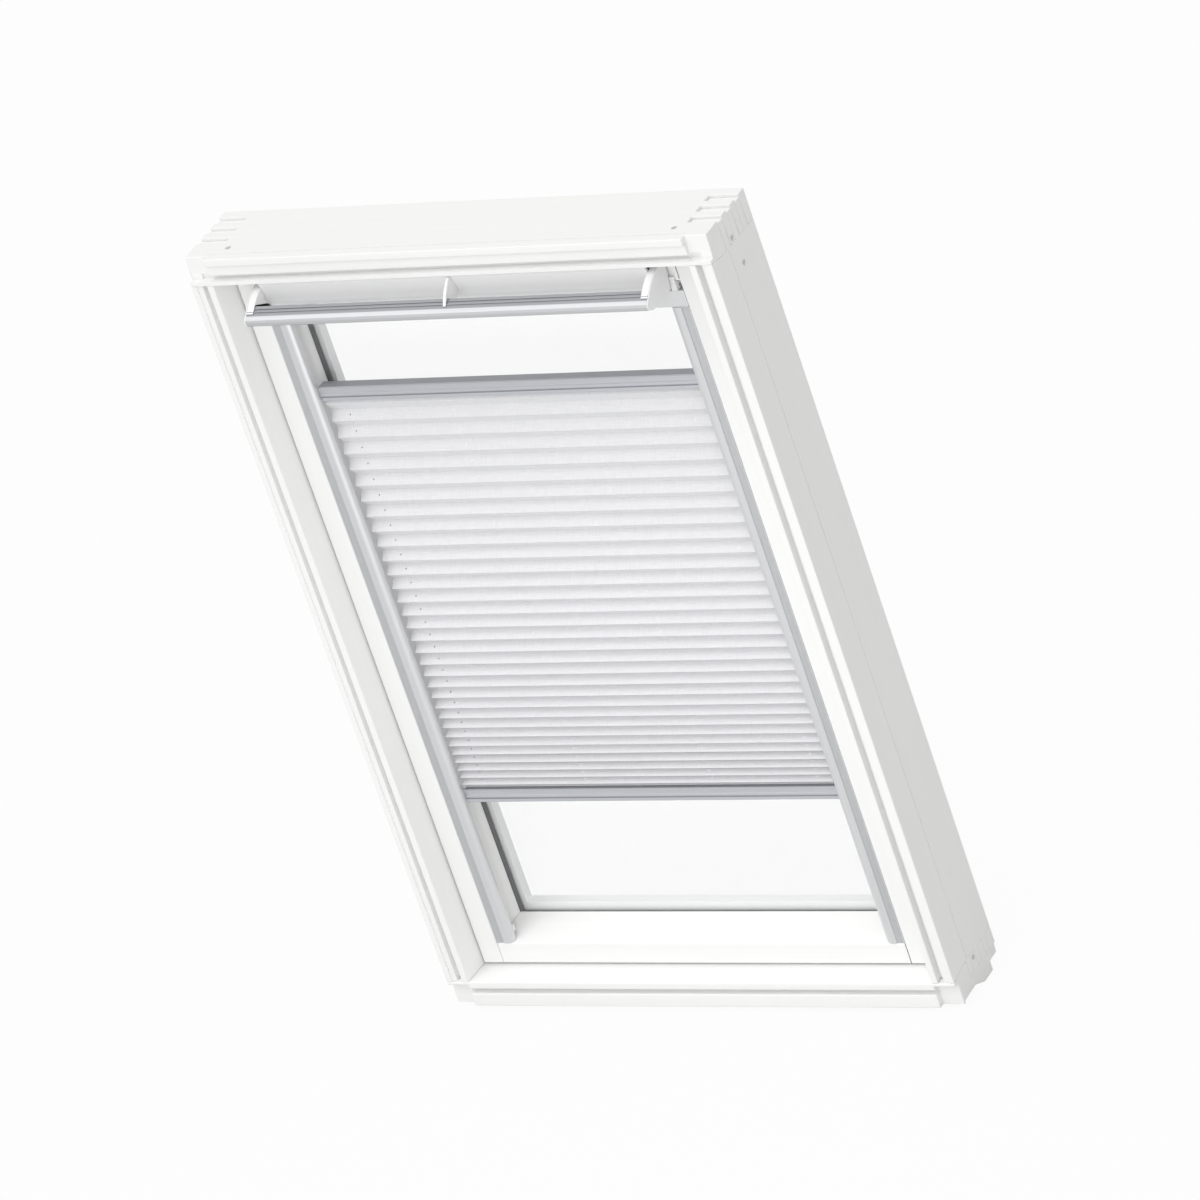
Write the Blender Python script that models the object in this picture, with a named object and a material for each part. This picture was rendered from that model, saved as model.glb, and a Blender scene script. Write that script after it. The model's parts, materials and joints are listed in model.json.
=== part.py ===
"""Roof window with a pleated blind: a centre-pivot sash in its frame, with a vent flap and pull bar.

Metres, +Z up the window, +Y outdoors, the room on the -Y side and +X to the right from the room.
The origin is the middle of the flat foot of the frame's bottom member.

Most sizes are read in three directions: x inwards from the frame's outer side face, n outwards from
the frame's room face, and s downwards from the frame's top face.
"""
import math

import bmesh
import bpy

for item in list(bpy.data.objects):
    bpy.data.objects.remove(item, do_unlink=True)

# Clearances, and how far cutters run past what they cut
SEAT_GAP = 0.0003
SPLAY_GAP = 0.00033
TURNING_GAP = 0.00045
NOTCH_GAP = 0.0012
PAST = 0.002

# Frame
FRAME_WIDTH = 0.780
FRAME_HEIGHT = 1.180
FRAME_DEPTH = 0.124
STILE_FACE = 0.0337
RAIL_FACE = 0.0385
REVEAL_DEPTH = 0.034
STILE_BACK = 0.043
RAIL_BACK = 0.044
STILE_SLOT_OFFSET = 0.0162
TOP_SLOT_OFFSET = 0.025
BOTTOM_SLOT_OFFSET = 0.020
SLOT_WIDTH = 0.008
SLOT_DEPTH = 0.012
STILE_LIP = 0.008
TOP_LIP = 0.0107
LAND_STEP = 0.002
TOP_LAND_STEP = 0.003
CORNER_STEP = 0.009
CORNER_RUN_X = 0.032
CORNER_RUN_S = 0.034
FINGER_PITCH = 0.026
FINGER_WIDTH = 0.013
FINGER_FIRST = 0.043
FINGER_COUNT = 3
FINGER_SHORT = 0.004
LINE_WIDTH = 0.0016
LINE_DEPTH = 0.0008
SIDE_LINE_N = 0.0467
TOP_LINE_N = 0.0134

# Underside of the bottom member
NOSE_DROP = 0.008
FOOT_WIDTH = 0.026
NOSE_LEAD = 0.025
NOSE_START = 0.048
TOE_DEPTH = 0.012
TOE_STEP = 0.0035
HEEL_STEP = 0.0065
REBATE_HEIGHT = 0.020
REBATE_DEPTH = 0.004

# Frame screws
SCREW_HEAD_RADIUS = 0.0038
SCREW_HEAD_HEIGHT = 0.0025
SCREW_RIM_HEIGHT = 0.001
SCREW_POINT_SHARE = 0.3
SCREW_SHANK_RADIUS = 0.0022
SCREW_LENGTH = 0.034
SCREW_SINK = 0.0006
TOP_SCREW_X = 0.056
TOP_SCREW_N = 0.030
SIDE_SCREW_S = 0.0375
SIDE_SCREW_N = 0.063
LOWER_SCREW_STEP = 0.041
LOWER_SCREW_N = 0.071

# Sash
SASH_GAP_SIDE = 0.003
SASH_GAP_END = 0.0035
SASH_STILE_FACE = 0.0295
SASH_RAIL_FACE = 0.031
SASH_SPLAY_SIDE = 0.0195
SASH_SPLAY_END = 0.019
SASH_SHELF = 0.0495
SASH_WOOD_DEPTH = 0.0757
REBATE_WALL = 0.033
COVER_THICKNESS = 0.0077
COVER_WIDTH = 0.051
SEAL_WIDTH = 0.006
SEAL_PROUD = 0.0015
SEAL_ROOT = 0.002
SEAL_N = 0.062

# Glazing
GASKET_THICKNESS = 0.0011
GASKET_LIP = 0.006
PANE_THICKNESS = 0.004
SPACER_THICKNESS = 0.0156
SPACER_SIGHT = 0.019
PANE_EDGE_GAP = 0.0006

# Pivot hinge
HINGE_LENGTH = 0.080
HINGE_WIDTH = 0.028
HINGE_THICKNESS = 0.005
PIN_RADIUS = 0.006

# Vent flap and pull bar
FLAP_AXIS_N = 0.040
FLAP_AXIS_S = 0.088
FLAP_BARREL_RADIUS = 0.004
FLAP_THICKNESS = 0.0035
FLAP_TOP_N = 0.0048
FLAP_TOP_S = 0.0412
FLAP_KNEE_N = 0.0112
FLAP_KNEE_S = 0.073
FLAP_SAG = 0.0022
FLAP_HEEL_DIP = 0.0042
BRACKET_SIDE_GAP = 0.0065
FIN_THICKNESS = 0.010
MIDDLE_FIN_THICKNESS = 0.0045
BAR_BACK = 0.017
BAR_REACH = 0.036
BAR_TOP_S = 0.0620
BAR_BOTTOM_S = 0.085
BAR_WALL = 0.002
BAR_CORNER_SHARES = ((0.68, 0.32), (0.94, 0.46), (1.0, 0.62), (0.90, 0.86), (0.58, 1.0))
BAR_PLUG_FLANGE = 0.0015
PLATE_BACK_N = 0.0283
PLATE_SHOULDER_S = 0.0715
PLATE_CHAMFER = 0.0025
PLATE_HEEL_S = 0.081
PLATE_HEEL_N = 0.018
PLATE_FOOT_S = 0.0895
BAR_PLUG_LENGTH = 0.012
FIN_TIP_SHARE = 0.85
FIN_TIP_HEIGHT = 0.0006
FIN_TOP_BACK = 0.0047
FIN_TOP_DROP = 0.0066
FIN_BULGE = 0.0024
MIDDLE_FIN_TOP_REACH = 0.0058
MIDDLE_FIN_TOP_DROP = 0.0002
FIN_STEPS = 6
CHEEK_TOP_S = 0.0452
CHEEK_BACK_N = 0.0318
CHEEK_BOTTOM_S = 0.091
CHEEK_LIFT = 0.0035
FLAP_PIN_RADIUS = 0.0022
FLAP_PIN_LENGTH = 0.014
BRACKET_WIDTH = 0.008
BRACKET_HEIGHT = 0.020
BRACKET_REACH = 0.004
BRACKET_CHAMFER = 0.0005
FLAP_PLATE_STEPS = 6
BARREL_STEPS = 6

# Latch and filter
LATCH_WIDTH = 0.020
LATCH_THICKNESS = 0.010
LATCH_LENGTH = 0.025
LATCH_ENGAGEMENT = 0.003
LATCH_N = 0.047
LATCH_TRAVEL = 0.005
LATCH_CASE_WIDTH = 0.080
LATCH_CASE_HEIGHT = 0.014
LATCH_CASE_DEPTH = 0.026
LATCH_CASE_S = 0.060
STRIKE_WIDTH = 0.040
STRIKE_THICKNESS = 0.002
STRIKE_N = 0.040
STRIKE_DEPTH = 0.024
NOTCH_ROOM_N = 0.020
FILTER_S = 0.0505
FILTER_HEIGHT = 0.008
FILTER_DEPTH = 0.007
FILTER_END_INSET = 0.020

# Blind channels
CHANNEL_FACE = 0.028
CHANNEL_DEPTH = 0.020
CHANNEL_WALL = 0.002
CHANNEL_LIP = 0.009
CHANNEL_BACK_LIP = 0.011
CHANNEL_TOP_S = 0.094
HOUSING_HEIGHT = 0.0245
HOUSING_WIDTH = 0.050
STOP_HEIGHT = 0.010
STOP_FROM_BOTTOM = 0.0895

# Blind rails
RAIL_SIDE_GAP = 0.001
RAIL_FRONT_N = 0.044
TOP_RAIL_S = 0.224
TOP_RAIL_HEIGHT = 0.0215
TOP_RAIL_DEPTH = 0.016
BOTTOM_RAIL_S = 0.858
BOTTOM_RAIL_HEIGHT = 0.020
BOTTOM_RAIL_DEPTH = 0.013
RAIL_WALL = 0.0016
RAIL_GROOVE = 0.0008
RAIL_GROOVE_HEIGHT = 0.0022
RAIL_LIP_HEIGHT = 0.0055
SLIDER_PLUG_LENGTH = 0.018
SLIDER_BODY_WIDTH = 0.014
SLIDER_PLAY = 0.0006

# Pleated cloth
PLEAT_COUNT = 32
PLEAT_SLOPE = 0.016
PLEAT_FIRST = 0.0264
PLEAT_LAST = 0.0110
PLEAT_POWER = 1.3
CLOTH_THICKNESS = 0.0006
CLOTH_SIDE_GAP = 0.0015
CLOTH_MIDDLE_N = 0.052
FOLD_MITRE_LIMIT = 0.2

# Worked out from the driving dimensions
TOP_Z = FRAME_HEIGHT + NOSE_DROP
HALF_WIDTH = FRAME_WIDTH / 2
FOOT_START = NOSE_START + NOSE_LEAD
ORIGIN_N = FOOT_START + FOOT_WIDTH / 2
SASH_X = STILE_BACK + SASH_GAP_SIDE
SASH_S = RAIL_BACK + SASH_GAP_END
SASH_BOTTOM_S = FRAME_HEIGHT - SASH_S
SASH_BACK_N = REVEAL_DEPTH + SASH_WOOD_DEPTH
COVER_N = SASH_BACK_N + SEAT_GAP
SASH_TOTAL_DEPTH = SASH_WOOD_DEPTH + SEAT_GAP + COVER_THICKNESS
PIVOT_N = REVEAL_DEPTH + SASH_TOTAL_DEPTH / 2
PIVOT_S = FRAME_HEIGHT / 2
SHELF_N = REVEAL_DEPTH + SASH_SHELF
SIGHT_X = SASH_X + SASH_STILE_FACE + SASH_SPLAY_SIDE
SIGHT_S = SASH_S + SASH_RAIL_FACE + SASH_SPLAY_END
GASKET_N = SHELF_N + SEAT_GAP
INNER_PANE_N = GASKET_N + GASKET_THICKNESS + SEAT_GAP
SPACER_N = INNER_PANE_N + PANE_THICKNESS + SEAT_GAP
OUTER_PANE_N = SPACER_N + SPACER_THICKNESS + SEAT_GAP
CHANNEL_X = SASH_X + SASH_STILE_FACE + SEAT_GAP
CHANNEL_INNER_X = CHANNEL_X + CHANNEL_FACE
CHANNEL_BACK_N = REVEAL_DEPTH + CHANNEL_DEPTH
HOUSING_BOTTOM_S = CHANNEL_TOP_S + HOUSING_HEIGHT
RAIL_END_X = CHANNEL_INNER_X + RAIL_SIDE_GAP
CLOTH_EDGE_X = CHANNEL_INNER_X + CLOTH_SIDE_GAP
BAR_HALF_LENGTH = HALF_WIDTH - SASH_X - SASH_STILE_FACE - BRACKET_SIDE_GAP - BRACKET_WIDTH
CHEEK_OUTER = BAR_HALF_LENGTH
CHEEK_INNER = BAR_HALF_LENGTH - FIN_THICKNESS
FILTER_HALF_LENGTH = BAR_HALF_LENGTH - FILTER_END_INSET


def world_y(n):
    """Y of a point that lies n outside the frame's room face."""
    return n - ORIGIN_N


def world_z(s):
    """Z of a point that lies s below the frame's top face."""
    return TOP_Z - s


def world_x(side, x):
    """X of a point x inwards from the outer face of the left (-1) or right (+1) side."""
    return side * (HALF_WIDTH - x)


# Bodies: each empty lies on the axis of its body's joint
BODY_PLACES = {
    "frame_body": (0.0, 0.0, 0.0),
    "sash_body": (0.0, world_y(PIVOT_N), world_z(PIVOT_S)),
    "flap_body": (0.0, world_y(FLAP_AXIS_N), world_z(FLAP_AXIS_S)),
    "latch_body": (0.0, world_y(LATCH_N), world_z(RAIL_BACK)),
    "top_rail_body": (0.0, world_y(RAIL_FRONT_N), world_z(TOP_RAIL_S)),
    "bottom_rail_body": (0.0, world_y(RAIL_FRONT_N), world_z(BOTTOM_RAIL_S)),
}
BODY_PARENTS = {
    "frame_body": None,
    "sash_body": "frame_body",
    "flap_body": "sash_body",
    "latch_body": "sash_body",
    "top_rail_body": "sash_body",
    "bottom_rail_body": "top_rail_body",
}


def make_bodies():
    """Adds the empties that carry the moving bodies."""
    bodies = {}
    for name, place in BODY_PLACES.items():
        empty = bpy.data.objects.new(name, None)
        bpy.context.scene.collection.objects.link(empty)
        parent = BODY_PARENTS[name]
        offset = (0.0, 0.0, 0.0)
        if parent is not None:
            empty.parent = bodies[parent]
            offset = BODY_PLACES[parent]
        empty.location = [a - b for a, b in zip(place, offset)]
        bodies[name] = empty
    return bodies


bodies = make_bodies()


def principled(name, colour, roughness, metallic=0.0, alpha=1.0):
    """A plain Principled material."""
    material = bpy.data.materials.new(name)
    material.use_nodes = True
    shader = material.node_tree.nodes["Principled BSDF"]
    shader.inputs["Base Color"].default_value = (*colour, 1.0)
    shader.inputs["Roughness"].default_value = roughness
    shader.inputs["Metallic"].default_value = metallic
    shader.inputs["Alpha"].default_value = alpha
    return material


materials = {
    "white_paint": principled("white_paint", (0.90, 0.90, 0.90), 0.40),
    "white_plastic": principled("white_plastic", (0.86, 0.86, 0.86), 0.45),
    "aluminium": principled("aluminium", (0.62, 0.64, 0.67), 0.35, 1.0),
    "grey_aluminium": principled("grey_aluminium", (0.36, 0.37, 0.38), 0.45, 1.0),
    "steel": principled("steel", (0.55, 0.55, 0.56), 0.30, 1.0),
    "rubber": principled("rubber", (0.03, 0.03, 0.03), 0.70),
    "glass": principled("glass", (0.85, 0.92, 0.92), 0.03, 0.0, 0.3),
    "spacer_grey": principled("spacer_grey", (0.45, 0.46, 0.47), 0.50),
    "foam": principled("foam", (0.20, 0.20, 0.21), 0.95),
    "cloth": principled("cloth", (0.84, 0.84, 0.85), 0.90),
}


# Solids are pairs of a vertex list and a face list, in world metres
def prism(section, axis, low, high):
    """A section drawn in the two other axes, in their order X, Y, Z, run along one axis."""
    count = len(section)
    order = {"X": (2, 0, 1), "Y": (0, 2, 1), "Z": (0, 1, 2)}[axis]
    vertices = []
    for level in (low, high):
        for a, b in section:
            triple = (a, b, level)
            vertices.append(tuple(triple[k] for k in order))
    faces = [tuple(range(count)), tuple(range(2 * count - 1, count - 1, -1))]
    for i in range(count):
        j = (i + 1) % count
        faces.append((i, j, count + j, count + i))
    return vertices, faces


def block(x_pair, y_pair, z_pair):
    """A box between two X, two Y and two Z values."""
    x0, x1 = sorted(x_pair)
    y0, y1 = sorted(y_pair)
    section = [(x0, y0), (x1, y0), (x1, y1), (x0, y1)]
    z0, z1 = sorted(z_pair)
    return prism(section, "Z", z0, z1)


def circle(centre, radius, segments):
    """Points round a circle whose flats touch the radius from outside."""
    points = []
    for i in range(segments):
        angle = 2 * math.pi * i / segments
        points.append((centre[0] + radius * math.cos(angle), centre[1] + radius * math.sin(angle)))
    return points


def turned(profile, axis, centre, segments):
    """A turned solid: profile points are (distance along the axis, radius), ends on the axis."""
    vertices = []
    faces = []
    order = {"X": (0, 1, 2), "Z": (1, 2, 0)}[axis]

    def placed(along, a, b):
        triple = (along, centre[0] + a, centre[1] + b)
        return tuple(triple[k] for k in order)

    rings = []
    for along, radius in profile:
        ring = []
        for i in range(segments):
            angle = 2 * math.pi * i / segments
            ring.append(len(vertices))
            vertices.append(placed(along, radius * math.cos(angle), radius * math.sin(angle)))
        rings.append(ring)
    for lower, upper in zip(rings, rings[1:]):
        for i in range(segments):
            j = (i + 1) % segments
            faces.append((lower[i], lower[j], upper[j], upper[i]))
    faces.append(tuple(reversed(rings[0])))
    faces.append(tuple(rings[-1]))
    return vertices, faces


def ring_solid(outer_x, outer_s, inner_x, inner_s, n_pair):
    """A rectangular ring lying parallel to the glass, the same on all four sides."""
    vertices = []
    faces = []
    for n in n_pair:
        for x, s in ((outer_x, outer_s), (inner_x, inner_s)):
            for side, end in ((-1, 1), (1, 1), (1, -1), (-1, -1)):
                drop = s if end > 0 else FRAME_HEIGHT - s
                vertices.append((world_x(side, x), world_y(n), world_z(drop)))
    for i in range(4):
        j = (i + 1) % 4
        faces.append((i, j, 4 + j, 4 + i))
        faces.append((8 + i, 12 + i, 12 + j, 8 + j))
        faces.append((i, 8 + i, 8 + j, j))
        faces.append((4 + i, 4 + j, 12 + j, 12 + i))
    return vertices, faces


def mesh_from(name, solids, origin):
    """One mesh with its faces outward, in coordinates that start at the origin given."""
    mesh = bpy.data.meshes.new(name)
    shape = bmesh.new()
    for vertices, faces in solids:
        made = [shape.verts.new([a - b for a, b in zip(v, origin)]) for v in vertices]
        for face in faces:
            shape.faces.new([made[i] for i in face])
    bmesh.ops.recalc_face_normals(shape, faces=shape.faces)
    shape.to_mesh(mesh)
    shape.free()
    return mesh


def middle_of(solids):
    """The middle of the box round some solids."""
    points = [v for vertices, _ in solids for v in vertices]
    return [(min(p[k] for p in points) + max(p[k] for p in points)) / 2 for k in range(3)]


def piece(name, solid, body, material, smooth=False):
    """Adds one named sub-part, carried by a body."""
    origin = middle_of([solid])
    mesh = mesh_from(name, [solid], origin)
    item = bpy.data.objects.new(name, mesh)
    bpy.context.scene.collection.objects.link(item)
    item.parent = bodies[body]
    item.location = [a - b for a, b in zip(origin, BODY_PLACES[body])]
    item.data.materials.append(materials[material])
    if smooth:
        item.data.shade_smooth()
        item.data.set_sharp_from_angle(angle=math.radians(35))
    return item


def shape_with(item, operation, solids):
    """Cuts solids out of a piece, or joins them to it, with one Boolean modifier."""
    label = f"{item.name}_{operation.lower()}"
    origin = middle_of(solids)
    tool = bpy.data.objects.new(label, mesh_from(label, solids, origin))
    bpy.context.scene.collection.objects.link(tool)
    tool.location = origin
    tool.display_type = "WIRE"
    tool.hide_render = True
    modifier = item.modifiers.new(operation.title(), "BOOLEAN")
    modifier.operation = operation
    modifier.solver = "EXACT"
    modifier.use_self = True
    modifier.object = tool


def cut(item, *solids):
    """Cuts the solids out of a piece."""
    shape_with(item, "DIFFERENCE", list(solids))


def join(item, *solids):
    """Joins the solids to a piece."""
    shape_with(item, "UNION", list(solids))


# Frame members, joined by fingers in the corners
def finger_bands():
    """Depth bands of the stiles' fingers, which the top and bottom members leave free."""
    return [
        (FINGER_FIRST + i * FINGER_PITCH, FINGER_FIRST + i * FINGER_PITCH + FINGER_WIDTH)
        for i in range(FINGER_COUNT)
    ]


def between_fingers():
    """Depth bands that the top and bottom members fill right out to the side faces."""
    edges = [-PAST]
    for low, high in finger_bands():
        edges += [low, high]
    edges.append(FRAME_DEPTH + PAST)
    return list(zip(edges[::2], edges[1::2]))


def rail_inner(n):
    """Height of a top or bottom member at depth n: the reveal tapers, then runs straight."""
    share = min(max(n, 0.0), REVEAL_DEPTH) / REVEAL_DEPTH
    return RAIL_FACE + (RAIL_BACK - RAIL_FACE) * share


def side_grooves(side):
    """The step and the lining slot down the room face of one side of the frame."""
    run = (world_z(CORNER_RUN_S), world_z(FRAME_HEIGHT - CORNER_RUN_S))
    front = world_y(-PAST)
    step = (world_x(side, STILE_LIP), world_x(side, STILE_SLOT_OFFSET + PAST))
    slot = (world_x(side, STILE_SLOT_OFFSET), world_x(side, STILE_SLOT_OFFSET + SLOT_WIDTH))
    return [
        block(step, (front, world_y(LAND_STEP)), run),
        block(slot, (front, world_y(SLOT_DEPTH)), run),
    ]


def frame_stile(name, side):
    """Adds a side member of the frame with its finger joints, lining slot and hinge pocket."""
    section = [
        (0.0, 0.0), (STILE_FACE, 0.0), (STILE_BACK, REVEAL_DEPTH),
        (STILE_BACK, FRAME_DEPTH), (0.0, FRAME_DEPTH),
    ]
    outline = [(world_x(side, x), world_y(n)) for x, n in section]
    stile = piece(name, prism(outline, "Z", world_z(FRAME_HEIGHT), world_z(0)), "frame_body", "white_paint")
    across = (world_x(side, -PAST), world_x(side, STILE_BACK + PAST))
    removed = []
    for low, high in between_fingers():
        stops = [low - SEAT_GAP, high + SEAT_GAP]
        stops[1:1] = [n for n in (0.0, REVEAL_DEPTH) if stops[0] < n < stops[1]]
        for end in (1, -1):
            zone = [(-PAST, stops[-1]), (-PAST, stops[0])]
            zone += [(rail_inner(n) + SEAT_GAP, n) for n in stops]
            run = [(world_y(n), world_z(s if end > 0 else FRAME_HEIGHT - s)) for s, n in zone]
            removed.append(prism(run, "X", min(across), max(across)))
    cut(stile, *removed)
    short = []
    for low, high in finger_bands():
        depth = (world_y(low - PAST), world_y(high + PAST))
        short.append(block(across, depth, (world_z(-PAST), world_z(FINGER_SHORT))))
        foot = FRAME_HEIGHT - REBATE_HEIGHT
        short.append(block(across, depth, (world_z(foot), world_z(FRAME_HEIGHT + PAST))))
    cut(stile, *short)
    side_line = block(
        (world_x(side, -PAST), world_x(side, LINE_DEPTH)),
        (world_y(SIDE_LINE_N), world_y(SIDE_LINE_N + LINE_WIDTH)),
        (world_z(RAIL_BACK + PAST), world_z(FRAME_HEIGHT - RAIL_BACK - PAST)),
    )
    cut(stile, *side_grooves(side), side_line)
    front = world_y(-PAST)
    blocks = []
    for end in (0.0, FRAME_HEIGHT):
        inner = CORNER_RUN_S if end == 0.0 else FRAME_HEIGHT - CORNER_RUN_S
        outer = -PAST if end == 0.0 else FRAME_HEIGHT + PAST
        blocks.append(block(
            (world_x(side, -PAST), world_x(side, CORNER_RUN_X)),
            (front, world_y(CORNER_STEP)), (world_z(inner), world_z(outer)),
        ))
    cut(stile, *blocks)
    cut(stile, hinge_space(side, STILE_BACK - HINGE_THICKNESS, STILE_BACK + PAST, SEAT_GAP))
    holes = [screw_hole(*place) for place in side_screw_places(side)]
    cut(stile, *holes)


def top_step(corner_end):
    """The step under the top member's lip, down to its slot."""
    return block(
        (-corner_end, corner_end), (world_y(-PAST), world_y(TOP_LAND_STEP)),
        (world_z(TOP_LIP), world_z(TOP_SLOT_OFFSET + PAST)),
    )


def frame_rail(name, end):
    """The top (+1) or bottom (-1) member of the frame, out to both side faces."""
    if end > 0:
        outside = [(0.0, 0.0), (0.0, FRAME_DEPTH)]
    else:
        heel_n = FRAME_DEPTH - REBATE_DEPTH
        outside = [
            (0.0, 0.0), (0.0, TOE_DEPTH), (TOE_STEP, TOE_DEPTH), (TOE_STEP, NOSE_START),
            (-NOSE_DROP, FOOT_START), (-NOSE_DROP, FOOT_START + FOOT_WIDTH),
            (HEEL_STEP, FOOT_START + FOOT_WIDTH), (HEEL_STEP, heel_n),
            (REBATE_HEIGHT, heel_n), (REBATE_HEIGHT, FRAME_DEPTH),
        ]
    section = outside + [(RAIL_BACK, FRAME_DEPTH), (RAIL_BACK, REVEAL_DEPTH), (RAIL_FACE, 0.0)]
    height = [s if end > 0 else FRAME_HEIGHT - s for s, _ in section]
    outline = [(world_y(n), world_z(s)) for s, (_, n) in zip(height, section)]
    rail = piece(name, prism(outline, "X", -HALF_WIDTH, HALF_WIDTH), "frame_body", "white_paint")

    def drop(s):
        return world_z(s if end > 0 else FRAME_HEIGHT - s)

    outer_stop = -PAST if end > 0 else REBATE_HEIGHT - SEAT_GAP
    removed = []
    for side in (-1, 1):
        for low, high in finger_bands():
            removed.append(block(
                (world_x(side, -PAST), world_x(side, STILE_BACK + SEAT_GAP)),
                (world_y(low), world_y(high)),
                (drop(outer_stop), drop(RAIL_BACK + PAST)),
            ))
    cut(rail, *removed)
    front = world_y(-PAST)
    corners = []
    for side in (-1, 1):
        corners.append(block(
            (world_x(side, -PAST), world_x(side, CORNER_RUN_X)),
            (front, world_y(CORNER_STEP)), (drop(-PAST), drop(CORNER_RUN_S)),
        ))
    cut(rail, *corners)
    corner_end = world_x(1, CORNER_RUN_X) + PAST
    slot_end = world_x(1, STILE_SLOT_OFFSET) if end > 0 else corner_end
    slot_s = TOP_SLOT_OFFSET if end > 0 else BOTTOM_SLOT_OFFSET
    cut(rail, block(
        (-slot_end, slot_end), (front, world_y(SLOT_DEPTH)), (drop(slot_s), drop(slot_s + SLOT_WIDTH)),
    ))
    if end > 0:
        cut(rail, top_step(corner_end))
    return rail


def side_screw_places(side):
    """Where screws go in through a stile: side, axis and place of each."""
    rows = (
        (SIDE_SCREW_S, SIDE_SCREW_N),
        (SIDE_SCREW_S + LOWER_SCREW_STEP, LOWER_SCREW_N),
        (FRAME_HEIGHT - SIDE_SCREW_S, SIDE_SCREW_N),
    )
    return [("X", side, s, n) for s, n in rows]


def screw_profile(grow):
    """Head and shank of a wood screw, from the head inwards."""
    head = SCREW_HEAD_RADIUS + grow
    shank = SCREW_SHANK_RADIUS + grow
    return [
        (SCREW_SINK - grow, head), (SCREW_SINK + SCREW_RIM_HEIGHT, head),
        (SCREW_SINK + SCREW_HEAD_HEIGHT + grow, shank), (SCREW_LENGTH, shank),
        (SCREW_LENGTH + SCREW_SHANK_RADIUS + grow, shank * SCREW_POINT_SHARE),
    ]


def screw_solid(axis, side, first, second, grow):
    """A screw through a side face (X) or down through the top face (Z)."""
    profile = screw_profile(grow)
    if grow:
        profile = [(-PAST, profile[0][1])] + profile[1:]
    if axis == "X":
        along = [(world_x(side, depth), radius) for depth, radius in profile]
        return turned(along, "X", (world_y(second), world_z(first)), 16)
    along = [(world_z(depth), radius) for depth, radius in profile]
    return turned(along, "Z", (world_x(side, first), world_y(second)), 16)


def screw_hole(axis, side, first, second):
    """The hole that a screw sits in."""
    return screw_solid(axis, side, first, second, SEAT_GAP)


def hinge_space(side, x_low, x_high, grow):
    """The room of a hinge plate in a stile."""
    half_length = HINGE_LENGTH / 2 + grow
    half_width = HINGE_WIDTH / 2 + grow
    return block(
        (world_x(side, x_low - grow), world_x(side, x_high)),
        (world_y(PIVOT_N - half_width), world_y(PIVOT_N + half_width)),
        (world_z(PIVOT_S - half_length), world_z(PIVOT_S + half_length)),
    )


def build_frame():
    """The fixed outer frame with its screws, hinge plates and strike."""
    frame_top = frame_rail("frame_top_member", 1)
    frame_bottom = frame_rail("frame_bottom_member", -1)
    frame_stile("frame_left_stile", -1)
    frame_stile("frame_right_stile", 1)
    top_holes = []
    for side, word in ((-1, "left"), (1, "right")):
        place = ("Z", side, TOP_SCREW_X, TOP_SCREW_N)
        piece(f"top_screw_{word}", screw_solid(*place, 0.0), "frame_body", "steel", True)
        top_holes.append(screw_hole(*place))
        labels = ("upper", "middle", "lower")
        for label, spot in zip(labels, side_screw_places(side)):
            piece(f"side_screw_{label}_{word}", screw_solid(*spot, 0.0), "frame_body", "steel", True)
    upper_ends = [screw_hole(*side_screw_places(side)[0]) for side in (-1, 1)]
    lower_ends = [screw_hole(*side_screw_places(side)[2]) for side in (-1, 1)]
    line = block(
        (world_x(-1, CORNER_RUN_X), world_x(1, CORNER_RUN_X)),
        (world_y(TOP_LINE_N), world_y(TOP_LINE_N + LINE_WIDTH)),
        (world_z(-PAST), world_z(LINE_DEPTH)),
    )
    cut(frame_top, *top_holes)
    cut(frame_top, *upper_ends, line)
    cut(frame_bottom, *lower_ends)
    tongue_half = LATCH_WIDTH / 2 + NOTCH_GAP / 2
    notch_back = LATCH_N + LATCH_THICKNESS + NOTCH_GAP
    notch_top = SASH_S - LATCH_ENGAGEMENT - SASH_GAP_END - NOTCH_GAP
    cut(
        frame_top,
        block(
            (-tongue_half, tongue_half), (world_y(NOTCH_ROOM_N), world_y(notch_back)),
            (world_z(notch_top), world_z(RAIL_BACK + PAST)),
        ),
    )
    half = STRIKE_WIDTH / 2
    cut(frame_top, block(
        (-half - SEAT_GAP, half + SEAT_GAP),
        (world_y(STRIKE_N - SEAT_GAP), world_y(STRIKE_N + STRIKE_DEPTH + SEAT_GAP)),
        (world_z(RAIL_BACK - STRIKE_THICKNESS - SEAT_GAP), world_z(RAIL_BACK + PAST)),
    ))
    front = world_y(STRIKE_N)
    back = world_y(STRIKE_N + STRIKE_DEPTH)
    notch = world_y(notch_back)
    outline = [
        (-half, front), (-tongue_half, front), (-tongue_half, notch), (tongue_half, notch),
        (tongue_half, front), (half, front), (half, back), (-half, back),
    ]
    plate = prism(outline, "Z", world_z(RAIL_BACK), world_z(RAIL_BACK - STRIKE_THICKNESS))
    piece("latch_strike_plate", plate, "frame_body", "steel")
    for side, word in ((-1, "left"), (1, "right")):
        inner = hinge_space(side, STILE_BACK - HINGE_THICKNESS, STILE_BACK, 0.0)
        bearing = piece(f"hinge_bearing_{word}", inner, "frame_body", "steel")
        hole = circle((world_y(PIVOT_N), world_z(PIVOT_S)), PIN_RADIUS + TURNING_GAP, 32)
        behind = STILE_BACK - HINGE_THICKNESS - PAST
        reach = sorted((world_x(side, behind), world_x(side, STILE_BACK + PAST)))
        cut(bearing, prism(hole, "X", *reach))


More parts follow.
